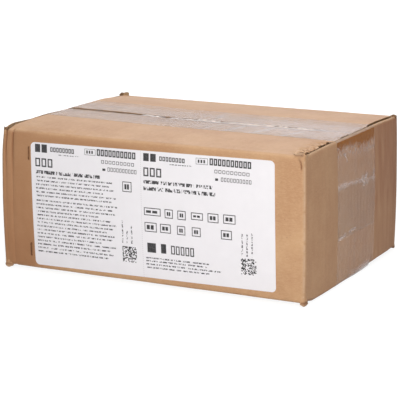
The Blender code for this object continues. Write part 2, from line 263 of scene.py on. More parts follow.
def pick(item, kind, wanted):   # selects the faces or the edges that are wanted
    bpy.context.tool_settings.mesh_select_mode = (False, kind == "edges", kind == "faces")
    bpy.ops.mesh.select_all(action="DESELECT")
    shape = bmesh.from_edit_mesh(item.data)
    for part in getattr(shape, kind):
        part.select_set(bool(wanted(part)))
    bmesh.update_edit_mesh(item.data)


def cutAt(axis, station):
    point, normal = Vector(), Vector()
    point[axis], normal[axis] = station, 1
    bpy.ops.mesh.bisect(plane_co=point, plane_no=normal, threshold=0.00003)


def cutAll(axis, stations):
    for station in stations:
        bpy.ops.mesh.select_all(action="SELECT")
        cutAt(axis, station)


def evenly(low, high, step):
    count = max(round((high - low) / step), 1)
    return [low + (high - low) * turn / count for turn in range(1, count)]


def extrudeBy(x, y, z):
    bpy.ops.mesh.extrude_region_move(TRANSFORM_OT_translate={"value": (x, y, z)})


def moveVertices(item, mover):
    for vertex in item.data.vertices:
        vertex.co = mover(vertex.co)
    item.data.update()


def smoothOver(item, angle):
    choose(item)
    bpy.ops.object.shade_smooth_by_angle(angle=math.radians(angle))


def thicken(item, thickness, offset):
    choose(item)
    film = item.modifiers.new("thickness", "SOLIDIFY")
    film.thickness, film.offset = thickness, offset
    bpy.ops.object.modifier_apply(modifier=film.name)


def joinAll(name, items):
    lookOnly()
    for item in items:
        item.select_set(True)
    bpy.context.view_layer.objects.active = items[0]
    bpy.ops.object.join()
    items[0].name = items[0].data.name = name
    return items[0]


def addFields(mesh, *names):   # one value at each vertex, read by the materials
    for name in names:
        mesh.attributes.new(name, "FLOAT", "POINT")
    return [mesh.attributes[name] for name in names]


def fillFields(mesh, fields):   # each field's values are worked out from the vertices' places
    for field, valueAt in zip(addFields(mesh, *fields), fields.values()):
        for vertex in mesh.vertices:
            field.data[vertex.index].value = valueAt(vertex.co)


def dress(item, *finishes):   # the faces keep their choice of finish
    chosen = [face.material_index for face in item.data.polygons]
    item.data.materials.clear()
    for finish in finishes:
        item.data.materials.append(finish)
    item.data.polygons.foreach_set("material_index", chosen)


# Material helpers

def linear(hexColour):   # sRGB hex to the linear colour that sockets hold
    channels = []
    for start in (0, 2, 4):
        value = int(hexColour[start:start + 2], 16) / 255
        channels.append(value / 12.92 if value <= 0.04045 else ((value + 0.055) / 1.055) ** 2.4)
    return (*channels, 1.0)


def plug(tree, node, sockets):   # links and values: a node gives its output in use, and hex text a colour
    for socket, value in sockets.items():
        if isinstance(value, bpy.types.Node):
            value = next(output for output in value.outputs if output.enabled)
        if isinstance(value, bpy.types.NodeSocket):
            tree.links.new(value, node.inputs[socket])
        else:
            node.inputs[socket].default_value = linear(value) if isinstance(value, str) else value


def addNode(tree, kind, sockets=None, **settings):
    node = tree.nodes.new("ShaderNode" + kind)
    for name, value in settings.items():
        setattr(node, name, value)
    plug(tree, node, sockets or {})
    return node


def newFinish(name):
    finish = bpy.data.materials.new(name)
    finish.use_nodes = True
    tree = finish.node_tree
    return finish, tree, tree.nodes["Principled BSDF"]


def perMm(size):   # the scale of a pattern whose features are this many millimetres across
    return 1000 / size


def addSoakedMask(tree, place):   # where the tape's glue has soaked into an end panel, ending in runs
    spots = addNode(tree, "SeparateXYZ", {"Vector": place})
    off = addNode(tree, "Math", {0: spots.outputs["Y"], 1: -tape["y"]}, operation="ADD")
    off = addNode(tree, "Math", {0: off}, operation="ABSOLUTE")
    under = addNode(tree, "Math", {0: off, 1: tape["width"] / 2}, operation="LESS_THAN")
    below = addNode(tree, "Math", {0: spots.outputs["Z"], 1: topZ - 0.0009}, operation="LESS_THAN")
    under = addNode(tree, "Math", {0: under, 1: below}, operation="MULTIPLY")
    edge = addNode(tree, "MapRange", {
        "Value": spots.outputs["Y"], "From Min": -0.016, "From Max": 0.012,
        "To Min": 0.1060, "To Max": 0.1026,
    })
    above = addNode(tree, "Math", {0: spots.outputs["Z"], 1: edge}, operation="SUBTRACT")
    runs = addNode(tree, "Mapping", {"Vector": place, "Scale": (1.0, 1.0, 0.24)})
    runNoise = addNode(tree, "TexNoise", {
        "Vector": runs, "Scale": perMm(2.0), "Detail": 4.0, "Roughness": 0.7,
    })
    run = addNode(tree, "Math", {0: runNoise, 1: 0.030}, operation="MULTIPLY")
    wet = addNode(tree, "Math", {0: above, 1: run}, operation="ADD")
    share = addNode(tree, "MapRange", {"Value": wet, "From Min": 0.0145, "From Max": 0.0162})
    return addNode(tree, "Math", {0: share, 1: under}, operation="MULTIPLY")


def makeKraft():
    # Kraft linerboard: unbleached long-fibre paper, calendered dull. Cloudy brown, with short fibres
    # lying along the paper machine's direction, and flutes that show through as faint bands.
    look = {
        "clear": "CCA47D", "cloud": "BE936E", "fibre": "DAB795", "fleck": "8F6644", "paleWearAndHighlight": "E0C3A4",
        "browned": "A97B58", "ruddyToneAndShade": "A4714F", "soaked": "BA772F", "soakedDark": "703E13",
        "creaseShadeAndDarkness": "7A4E33", "banding": 0.16, "bandStray": 9.0, "relief": 0.00005,
    }
    patterns = {   # size in mm, detail, roughness, stretch
        "clouds": (34, 4.0, 0.6, (1.0, 1.0, 1.0)),
        # fibres about 2.5 mm long and 0.5 mm apart, drawn coarser than real ones so that they show
        "fibres": (0.9, 5.0, 0.7, (0.34, 0.34, 1.0)),
        "specks": (1.5, 2.0, 0.5, (1.0, 1.0, 1.0)),
        "stray": (40, 2.0, 0.5, (1.0, 1.0, 1.0)),
        "upright": (7, 4.0, 0.6, (1.0, 1.0, 0.16)),
        "flakes": (1.5, 3.0, 0.6, (1.0, 1.0, 1.0)),
        "rubbed": (5, 3.0, 0.5, (1.0, 1.0, 1.0)),
    }
    shares = {   # the range of a pattern that counts, what it gives, and the attribute that scales it
        "cloudy": ("clouds", 0.34, 0.68, 0.0, 1.0, None),
        "fibrous": ("fibres", 0.42, 0.75, 0.0, 0.5, None),
        "flecked": ("specks", 0.66, 0.76, 0.0, 0.35, None),
        "banded": ("clouds", 0.40, 0.62, 0.0, 1.0, None),
        "browned": ("clouds", 0.3, 0.7, 1.1, 0.7, "browned"),
        # the end panels are ruddier, in bands up and down, and darker towards the back as painted shade
        "ruddyToneAndShade": ("upright", 0.3, 0.7, 0.65, 1.35, "ruddyToneAndShade"),
        # the crushed flap end is flaked: torn fibres pale, the board between them dark
        "tornDark": ("flakes", 0.53, 0.60, 0.0, 1.0, "torn"),
        "tornPale": ("flakes", 0.47, 0.40, 0.0, 1.0, "torn"),
        # pale wear on the folds, with a painted highlight along them
        "paleWearAndHighlight": ("rubbed", 0.22, 0.5, 0.0, 1.0, "foldWearAndHighlight"),
    }
    finish, tree, shader = newFinish("kraftLinerboard")
    place = addNode(tree, "TexCoord").outputs["Object"]
    pattern, share = {}, {}
    for name, (size, detail, roughness, stretch) in patterns.items():
        laid = addNode(tree, "Mapping", {"Vector": place, "Scale": stretch})
        pattern[name] = addNode(tree, "TexNoise", {
            "Vector": laid, "Scale": perMm(size), "Detail": detail, "Roughness": roughness,
        })
    for name, (source, low, high, least, most, attribute) in shares.items():
        share[name] = addNode(tree, "MapRange", {
            "Value": pattern[source], "From Min": low, "From Max": high, "To Min": least, "To Max": most,
        })
        if attribute:
            here = addNode(tree, "Attribute", attribute_name=attribute).outputs["Fac"]
            share[name] = addNode(tree, "Math", {0: here, 1: share[name]}, operation="MULTIPLY")
    across = addNode(tree, "Attribute", attribute_name="acrossFlutes").outputs["Fac"]
    turns = addNode(tree, "Math", {0: across, 1: 2 * math.pi / board["flutePitch"]}, operation="MULTIPLY")
    turns = addNode(tree, "Math", {
        0: pattern["stray"], 1: look["bandStray"], 2: turns,
    }, operation="MULTIPLY_ADD")
    bands = addNode(tree, "Math", {0: turns}, operation="COSINE")
    banding = addNode(tree, "MapRange", {
        "Value": bands, "From Min": -1.0, "From Max": 1.0, "To Max": look["banding"],
    })
    banded = addNode(tree, "Math", {0: banding, 1: share["banded"]}, operation="MULTIPLY")
    soaked = addNode(tree, "Mix", {
        "Factor": pattern["specks"], 6: look["soakedDark"], 7: look["soaked"],
    }, data_type="RGBA")
    creaseShadeAndDarkness = addNode(tree, "Attribute", attribute_name="creaseShadeAndDarkness").outputs["Fac"]
    tone = look["clear"]
    # besides the board's own tones, these mixes paint a highlight along the folds, shade in the creases, at
    # the feet and under the loose liner, and shade on the end panels towards the back
    for factor, colour in (
        (share["cloudy"], look["cloud"]), (share["fibrous"], look["fibre"]),
        (share["flecked"], look["fleck"]), (banded, look["cloud"]),
        (share["browned"], look["browned"]), (share["ruddyToneAndShade"], look["ruddyToneAndShade"]),
        (addSoakedMask(tree, place), soaked), (creaseShadeAndDarkness, look["creaseShadeAndDarkness"]),
        (share["tornDark"], look["creaseShadeAndDarkness"]), (share["tornPale"], look["paleWearAndHighlight"]),
        (share["paleWearAndHighlight"], look["paleWearAndHighlight"]),
    ):
        tone = addNode(tree, "Mix", {"Factor": factor, 6: tone, 7: colour}, data_type="RGBA")
    relief = addNode(tree, "Bump", {"Height": pattern["fibres"], "Distance": look["relief"], "Strength": 0.5})
    relief = addNode(tree, "Bump", {
        "Height": bands, "Distance": look["relief"], "Strength": 0.6, "Normal": relief,
    })
    rough = addNode(tree, "MapRange", {"Value": pattern["fibres"], "To Min": 0.48, "To Max": 0.66})
    plug(tree, shader, {"Base Color": tone, "Normal": relief, "Roughness": rough, "Specular IOR Level": 0.2})
    return finish


def makeRawBoard():
    # Cut corrugated board seen edge on: darker recycled medium between the liners, furry where torn
    look = {"medium": "A58061", "shade": "5C432E", "fresh": "D6BB9B", "freshShade": "A48563"}
    finish, tree, shader = newFinish("rawCorrugatedEdge")
    place = addNode(tree, "TexCoord").outputs["Object"]
    fur = addNode(tree, "TexNoise", {"Vector": place, "Scale": perMm(1.2), "Detail": 4.0, "Roughness": 0.7})
    furShare = addNode(tree, "MapRange", {"Value": fur, "From Min": 0.35, "From Max": 0.65})
    tone = addNode(tree, "Mix", {"Factor": furShare, 6: look["shade"], 7: look["medium"]}, data_type="RGBA")
    fresh = addNode(tree, "Mix", {
        "Factor": furShare, 6: look["freshShade"], 7: look["fresh"],
    }, data_type="RGBA")
    # the raw edges go to the darker tones where the seam and slots carry painted shade
    rawShadeAndDarkness = addNode(tree, "Attribute", attribute_name="rawShadeAndDarkness").outputs["Fac"]
    tone = addNode(tree, "Mix", {"Factor": rawShadeAndDarkness, 6: fresh, 7: tone}, data_type="RGBA")
    relief = addNode(tree, "Bump", {"Height": fur, "Distance": 0.0003, "Strength": 0.7})
    plug(tree, shader, {"Base Color": tone, "Normal": relief, "Roughness": 0.95, "Specular IOR Level": 0.2})
    return finish


def makeFilm():
    # Clear polypropylene tape, acrylic glue: glossy film, milky where glue and board have not met,
    # clear where the glue has soaked into the board, white where air is trapped in a crease.
    look = {"dusty": "6E7177", "dustier": "A6A2A6", "milk": "E6DCDC", "air": "FFEEE2"}
    finish, tree, shader = newFinish("clearPackingTape")
    strip = addNode(tree, "UVMap", uv_map="strip")
    airHere, flecksHere, haze, upright = (
        addNode(tree, "Attribute", attribute_name=name).outputs["Fac"]
        for name in ("trappedAir", "flecks", "haze", "onEndPanel")
    )
    # streaks of the glue roller, 60 mm long and 1.5 mm wide
    rolled = addNode(tree, "Mapping", {"Vector": strip, "Scale": (0.025, 1.0, 1.0)})
    streaks = addNode(tree, "TexNoise", {"Vector": rolled, "Scale": perMm(1.5), "Detail": 3.0})
    blots = addNode(tree, "TexNoise", {"Vector": strip, "Scale": perMm(7), "Detail": 5.0, "Roughness": 0.65})
    mottle = addNode(tree, "Math", {0: streaks, 1: blots}, operation="ADD")
    mottleShare = addNode(tree, "MapRange", {
        "Value": mottle, "From Min": 0.75, "From Max": 1.25, "To Min": 0.16, "To Max": 0.32,
    })
    hazy = addNode(tree, "Math", {0: mottleShare, 1: haze}, operation="MULTIPLY")
    soaked = addSoakedMask(tree, addNode(tree, "TexCoord").outputs["Object"])
    clear = addNode(tree, "Math", {0: 1.0, 1: soaked}, operation="SUBTRACT")
    hazy = addNode(tree, "Math", {0: hazy, 1: clear}, operation="MULTIPLY")
    # air breaks up into small bubbles, and into flecks along the runs below the soaked glue
    bubbles = addNode(tree, "TexNoise", {
        "Vector": strip, "Scale": perMm(1.1), "Detail": 4.0, "Roughness": 0.7,
    })
    bubbleShare = addNode(tree, "MapRange", {
        "Value": bubbles, "From Min": 0.36, "From Max": 0.62, "To Min": 0.70, "To Max": 1.15,
    })
    air = addNode(tree, "Math", {0: airHere, 1: bubbleShare}, operation="MULTIPLY", use_clamp=True)
    runs = addNode(tree, "Mapping", {"Vector": strip, "Scale": (0.4, 1.0, 1.0)})
    runNoise = addNode(tree, "TexNoise", {"Vector": runs, "Scale": perMm(1.3), "Detail": 3.0})
    flecks = addNode(tree, "MapRange", {"Value": runNoise, "From Min": 0.52, "From Max": 0.64})
    flecks = addNode(tree, "Math", {0: flecks, 1: flecksHere}, operation="MULTIPLY")
    air = addNode(tree, "Math", {0: air, 1: flecks}, operation="ADD", use_clamp=True)
    dustier = addNode(tree, "MapRange", {"Value": haze, "From Min": 1.0, "From Max": 1.33})
    tone = look["dusty"]
    for share, name in ((dustier, "dustier"), (upright, "milk"), (air, "air")):
        tone = addNode(tree, "Mix", {"Factor": share, 6: tone, 7: look[name]}, data_type="RGBA")
    alpha = addNode(tree, "Math", {0: air, 1: 0.90, 2: hazy}, operation="MULTIPLY_ADD", use_clamp=True)
    relief = addNode(tree, "Bump", {"Height": blots, "Distance": 0.0002, "Strength": 0.35})
    plug(tree, shader, {"Base Color": tone, "Alpha": alpha, "Normal": relief, "Roughness": 0.28, "IOR": 1.49})
    return finish


def makePaper():
    # Coated label paper: bright, smooth and nearly matt, with a row of perforations down its middle
    look = {"sheet": "F6F5FA", "grain": "EFEEF3", "hole": "DFDDE3"}
    finish, tree, shader = newFinish("coatedLabelPaper")
    place = addNode(tree, "TexCoord").outputs["Object"]
    grain = addNode(tree, "TexNoise", {"Vector": place, "Scale": perMm(9), "Detail": 5.0})
    tone = addNode(tree, "Mix", {"Factor": grain, 6: look["sheet"], 7: look["grain"]}, data_type="RGBA")
    sheet = addNode(tree, "UVMap", uv_map="sheet")
    spots = addNode(tree, "SeparateXYZ", {"Vector": sheet})
    off = addNode(tree, "Math", {0: spots.outputs["X"], 1: labelSheet["perforationX"]}, operation="SUBTRACT")
    away = addNode(tree, "Math", {0: off}, operation="ABSOLUTE")
    onLine = addNode(tree, "Math", {0: away, 1: 0.0003}, operation="LESS_THAN")
    pitch = labelSheet["perforationPitch"]
    steps = addNode(tree, "Math", {0: spots.outputs["Y"], 1: 1 / pitch}, operation="MULTIPLY")
    part = addNode(tree, "Math", {0: steps}, operation="FRACT")
    dash = addNode(tree, "Math", {0: part, 1: 0.55}, operation="LESS_THAN")
    cut = addNode(tree, "Math", {0: onLine, 1: dash}, operation="MULTIPLY")
    tone = addNode(tree, "Mix", {"Factor": cut, 6: tone, 7: look["hole"]}, data_type="RGBA")
    fine = addNode(tree, "TexNoise", {"Vector": place, "Scale": perMm(0.8), "Detail": 3.0})
    relief = addNode(tree, "Bump", {"Height": fine, "Distance": 0.00002, "Strength": 0.4})
    plug(tree, shader, {"Base Color": tone, "Normal": relief, "Roughness": 0.5, "Specular IOR Level": 0.35})
    return finish


def makeInk(name, hexColour, strokes=0):
    # Thermal transfer resin: dense, slightly glossy, thin at its edges. Rows that stand for writing are
    # broken up into strokes of about this many millimetres, which spell nothing.
    finish, tree, shader = newFinish(name)
    place = addNode(tree, "TexCoord").outputs["Object"]
    thin = addNode(tree, "TexNoise", {"Vector": place, "Scale": perMm(0.7), "Detail": 3.0})
    share = addNode(tree, "MapRange", {"Value": thin, "From Min": 0.45, "From Max": 0.8, "To Max": 0.16})
    tone = addNode(tree, "Mix", {"Factor": share, 6: hexColour, 7: "D8D7DC"}, data_type="RGBA")
    if strokes:
        upright = addNode(tree, "Mapping", {"Vector": place, "Scale": (1.0, 1.0, 0.5)})
        gaps = addNode(tree, "TexNoise", {"Vector": upright, "Scale": perMm(strokes), "Detail": 1.0})
        gapShare = addNode(tree, "MapRange", {"Value": gaps, "From Min": 0.50, "From Max": 0.56})
        tone = addNode(tree, "Mix", {"Factor": gapShare, 6: tone, 7: "F2F1F6"}, data_type="RGBA")
    plug(tree, shader, {"Base Color": tone, "Roughness": 0.42})
    return finish


def makeWire():
    # Coppered steel stitching wire, drawn and gone dull brown
    look = {"bright": "8A6244", "dull": "4E3626"}
    finish, tree, shader = newFinish("copperedSteelWire")
    place = addNode(tree, "TexCoord").outputs["Object"]
    drawn = addNode(tree, "Mapping", {"Vector": place, "Scale": (1.0, 1.0, 0.15)})
    lines = addNode(tree, "TexNoise", {"Vector": drawn, "Scale": perMm(0.4), "Detail": 4.0})
    share = addNode(tree, "MapRange", {"Value": lines, "From Min": 0.35, "From Max": 0.65})
    tone = addNode(tree, "Mix", {"Factor": share, 6: look["dull"], 7: look["bright"]}, data_type="RGBA")
    rough = addNode(tree, "MapRange", {"Value": lines, "To Min": 0.35, "To Max": 0.6})
    plug(tree, shader, {"Base Color": tone, "Metallic": 0.9, "Roughness": rough})
    return finish


# The folded blank

def brownedShare(place):   # the joint's glue and damp at the front left have darkened the board
    if place.y > -sideY + 0.0015:
        return 0.0
    onJoint = 1 - ramp(place.x, -0.108, -0.086)
    joint = onJoint * (0.75 + 0.25 * (1 - ramp(place.z, 0.04, 0.10)))
    underFold = hump(place.z, topZ - 0.0065, 0.0045) * (0.75 - 0.65 * ramp(place.x, -0.06, 0.10))
    return max(joint, underFold)


def foldWearAndHighlight(place):   # pale folds: the liners rub pale there, and a painted highlight runs along them, most on the right front post
    gaps = panelGaps(place)
    # 1 is an upright post, 2 an end's fold and 3 a long one
    pair = sum(sorted(range(3), key=lambda axis: gaps[axis])[:2])
    right = place.x > 0
    # the right end's top fold carries wear and a painted highlight on its upper side, but not at the far
    # corner, which is darker
    if pair == 2 and right and place.z > middleZ:
        clean = 1 - hump((place - Vector((endX, sideY, topZ))).length, 0, 0.005)
        return 0.8 * clean * hump(gaps[0] - gaps[2], 0.0008, 0.0008)
    if pair == 1:
        strength = 0.8 if right and place.y < 0 else 0.3
    elif pair == 2:
        strength = 0.4
    else:
        strength = 0.3
    if right and place.z < baseZ + 0.004:
        strength *= 0.3
    return strength * hump(foldGap(place), 0.0002, 0.0011 if pair < 3 else 0.0010)


def creaseShadeAndDarknessShare(place):   # painted shade in the creases and at the foot, a painted shadow under the loose liner, and darker on a far corner
    # painted shade in the crushed corner's crease
    share = 0.75 * cornerCreaseShare(place)
    # painted shadow under the loose liner of the right front ear
    if place.y < -sideY + 0.0035 and place.z > topZ - 0.0040:
        underLiner = ramp(place.x, 0.1215, 0.1224) * (1 - ramp(place.x, 0.1278, 0.1290))
        share += 0.9 * underLiner * ramp(place.z, topZ - 0.0008, topZ - 0.0001)
    share += 0.9 * hump((place - Vector((endX, sideY, topZ))).length, 0, 0.0034)
    # painted shade in the left post's creases
    if place.y < frontSkin and place.x < -0.11:
        fade = ramp(place.z, handling["postCreaseFrom"], handling["postCreaseFrom"] + 0.035)
        for x, width, deep in handling["postCreases"]:
            share += 0.55 * fade * hump(place.x, x, width)
    # on the right end: darker along the back edge, and painted shade along the bottom fold where it meets the
    # floor
    if place.x > endX - 0.0030:
        share += 0.22 * ramp(place.y, 0.074, 0.087)
        share += 0.75 * (1 - ramp(place.z, baseZ + 0.0008, baseZ + 0.0026))
    # on the front: painted shade along the bottom fold, and in the crease at the left foot
    elif place.y < -sideY + 0.0015:
        share += 0.4 * (1 - ramp(place.z, baseZ + 0.0002, baseZ + 0.0012))
        if place.x < -0.1235:
            share += 0.5 * hump(place.z, baseZ + 0.0006, 0.0009)
    return share


def ruddyToneAndShadeShare(place):   # only the end panels: a ruddier tone, with painted shade that deepens towards the back; most towards the back and above the bottom tape's end
    if abs(place.x) < endX - 0.0015 or place.z > topZ - 0.0015:
        return 0.0
    farAndHigh = ramp(place.y, 0.036, 0.046) * ramp(place.z, 0.032, 0.058)
    return 0.22 + 0.33 * ramp(place.y, -0.06, 0.09) + 0.28 * farAndHigh


def rawShadeAndDarknessShare(place):   # painted shade on the raw edges, for the shade inside the seam and the slots: least in the left slot and the right one's far half
    if place.x < -0.12:
        return 0.25
    if place.x < 0.12:   # the seam
        return 0.65
    share = 0.55 + 0.25 * ramp(place.y, -0.075, -0.055)
    return share - 0.35 * ramp(place.y, -0.030, -0.022) - 0.35 * ramp(place.y, 0.030, 0.045)


def inCut(place):   # on the raw walls of the slots and of the seam
    if panelGaps(place)[2] < 0.0002 or abs(place.y) > sideY - radius + 0.0001:
        return False
    inSlot = flapEnd - board["fluteDepth"] - 0.0002 < abs(place.x) < lipFrom + 0.0001
    inSeam = abs(place.y - board["seamY"]) < board["seamGap"] / 2 + 0.0001 and abs(place.x) < lipFrom
    return (inSlot or inSeam) and panelGaps(place)[2] < board["thickness"] + 0.0002


blankCuts = {
    "cell": 0.013, "cuts": 6, "longEdge": 0.0048,
    "extraX": (-0.1268, -0.1262, -0.1256, -0.1222, -0.1213, -0.1205, -0.1197, -0.1187, 0.1075, 0.1105, 0.1135,
               0.1165, 0.1190, 0.1220, 0.1246, 0.1256, 0.1262, 0.1268),
    "extraY": (-0.0885, -0.0861),
    "extraZ": (0.1075, 0.1090),
}


def foldBlank():
    blank = addBlock("carton", (-endX, -sideY, baseZ), (endX, sideY, topZ))
    edit(blank)
    bpy.ops.mesh.select_all(action="SELECT")
    bpy.ops.mesh.bevel(offset=radius, segments=board["foldSteps"], affect="EDGES")
    slots = [side * x for side in (-1, 1) for x in (flapEnd, flapEnd + board["slotWidth"])]
    seam = [board["seamY"] + side * board["seamGap"] / 2 for side in (-1, 1)]
    cutAll(0, evenly(-endX, endX, blankCuts["cell"]) + slots + list(blankCuts["extraX"]))
    cutAll(1, evenly(-sideY, sideY, blankCuts["cell"]) + seam + list(blankCuts["extraY"]))
    cutAll(2, evenly(baseZ, topZ, blankCuts["cell"]) + list(blankCuts["extraZ"]))

    def inGap(face):
        middle = face.calc_center_median()
        if abs(face.normal.z) < 0.999:
            return False
        inSlot = flapEnd < abs(middle.x) < flapEnd + board["slotWidth"]
        return inSlot or (seam[0] < middle.y < seam[1] and abs(middle.x) < flapEnd)

    for way in (1, -1):
        pick(blank, "faces", lambda face: inGap(face) and face.normal.z * way > 0)
        extrudeBy(0, 0, -way * board["thickness"])

    # between its liners each flap's raw end is hollow, because the cut runs along a flute
    def onFlapEnd(face, reach=0.0002):
        return abs(face.normal.x) > 0.9 and abs(abs(face.calc_center_median().x) - flapEnd) < reach

    for fold, way in ((topZ, 1), (baseZ, -1)):
        for depth in (board["liner"], board["thickness"] - board["liner"]):
            pick(blank, "faces", onFlapEnd)
            cutAt(2, fold - way * depth)
    for side in (-1, 1):
        def hollow(face):
            middle = face.calc_center_median()
            depth = board["panelHeight"] / 2 - abs(middle.z - middleZ)
            inside = board["liner"] < depth < board["thickness"] - board["liner"]
            return onFlapEnd(face) and inside and middle.x * side > 0 and abs(middle.y) < sideY - radius
        pick(blank, "faces", hollow)
        extrudeBy(-side * board["fluteDepth"], 0, 0)

    pick(blank, "edges", lambda edge: edge.calc_length() > blankCuts["longEdge"])
    bpy.ops.mesh.subdivide(number_cuts=blankCuts["cuts"])

    def besideTear(face):
        middle = face.calc_center_median()
        return 0.112 < middle.x < flapEnd + 0.0001 and middle.z > flapsFrom and middle.y < -0.005

    for station in evenly(-0.0905, -0.008, handling["tornCuts"]):
        pick(blank, "faces", besideTear)
        cutAt(1, station)
    lookOnly()

    mesh = blank.data
    fillFields(mesh, {
        "foldWearAndHighlight": foldWearAndHighlight, "acrossFlutes": acrossFlutes, "browned": brownedShare, "ruddyToneAndShade": ruddyToneAndShadeShare,
        "rawShadeAndDarkness": rawShadeAndDarknessShare, "creaseShadeAndDarkness": creaseShadeAndDarknessShare, "torn": lambda place: 0.7 * tornShare(place) ** 2,
    })
    for face in mesh.polygons:
        face.material_index = 1 if inCut(face.center) else 0
    moveVertices(blank, rest)
    smoothOver(blank, 35)
    dress(blank, kraft, rawBoard)
    print("carton folded:", len(mesh.polygons), "faces")
    return blank


# Corner ears. Their sides (x, y, up or down), reach along the long and the end panel and rise are as in
# the part's source. Then comes how each is crushed: what is left of the rise at distances from the corner
# along both panels, how far the tip leans outwards, and how far the ear stands off the panels and above
# which height. Last, whether its liner is scuffed off, from which height, and how dark its raw board is.
ears = {
    "places": [
        {"side": (-1, -1, 1), "reach": (0.0036, 0.0060), "rise": 0.0027,
         "long": [(0, 0.5), (0.0012, 0.8), (0.0036, 0.1)], "end": [(0, 0.5), (0.004, 0.3), (0.006, 0.1)],
         "lean": (-0.0004, -0.0002), "pop": 0.0, "raw": True, "rawShadeAndDarkness": 0.95},
        {"side": (1, -1, 1), "reach": (0.0085, 0.0055), "rise": 0.0028,
         "long": [(0, 0.75), (0.001, 1), (0.004, 0.9), (0.0065, 0.6), (0.0085, 0.3)],
         "end": [(0, 0.75), (0.0015, 0.3), (0.0030, 0.6), (0.0055, 0.0)],
         "lean": (-0.0004, -0.0004), "pop": 0.0008, "popFrom": topZ - 0.0010, "raw": False, "rawShadeAndDarkness": 1.0},
        {"side": (1, 1, 1), "reach": (0.0045, 0.0050), "rise": 0.0012,
         "long": [(0, 0.2), (0.002, 0.9), (0.0045, 0.4)], "end": [(0, 0.2), (0.003, 0.8), (0.005, 0.6)],
         "lean": (-0.0006, 0.0), "pop": 0.0, "raw": True, "rawFrom": 0.0026, "rawShadeAndDarkness": 1.0},
        {"side": (-1, 1, 1), "reach": (0.0080, 0.0026), "rise": 0.0026,
         "long": [(0, 0.5), (0.0010, 0.8), (0.0030, 0.75), (0.0046, 0.95), (0.0066, 1.05), (0.0080, 0.8)],
         "end": [(0, 0.5), (0.0026, 0.2)],
         "lean": (0.0006, 0.0002), "pop": 0.0, "raw": True, "rawFrom": 0.0020, "rawShadeAndDarkness": 0.1,
         "darkCorner": 0.9},
        {"side": (-1, -1, -1), "reach": (0.0065, 0.0045), "rise": 0.0022,
         "long": [(0, 0.3), (0.002, 0.9), (0.0035, 1), (0.005, 0.7), (0.0065, 0.2)],
         "end": [(0, 0.6), (0.0045, 0.8)],
         "lean": (-0.0005, 0.0), "pop": 0.0004, "popFrom": topZ - 0.0008, "raw": False, "rawShadeAndDarkness": 1.0},
        {"side": (1, -1, -1), "reach": (0.0038, 0.0060), "rise": 0.0019,
         "long": [(0, 1), (0.0038, 0.6)], "end": [(0, 1), (0.004, 0.8), (0.006, 0.4)],
         "lean": (0.0002, 0.0001), "pop": 0.0005, "raw": False, "rawShadeAndDarkness": 1.0},
        {"side": (1, 1, -1), "reach": (0.0040, 0.0040), "rise": 0.0012,
         "long": [(0, 0.4), (0.0040, 0.2)], "end": [(0, 0.4), (0.0040, 0.4)],
         "lean": (0.0, 0.0), "pop": 0.0002, "raw": True, "rawShadeAndDarkness": 0.8},
        {"side": (-1, 1, -1), "reach": (0.0055, 0.0045), "rise": 0.0022,
         "long": [(0, 0.9), (0.0055, 0.7)], "end": [(0, 0.9), (0.0045, 0.9)],
         "lean": (0.0001, 0.0001), "pop": 0.0002, "raw": False, "rawShadeAndDarkness": 1.0},
    ],
    "wall": 0.0022, "root": 0.004, "tuck": 0.0003, "spread": 1.12, "bend": 0.0018, "bendSteps": 4,
    "crumple": 0.00040, "crumpleSize": 0.0017, "cuts": 5, "wearAndHighlight": 0.6,
    "popFrom": topZ - 0.0031, "popOver": 0.0011, "rawFrom": 0.0008,
}


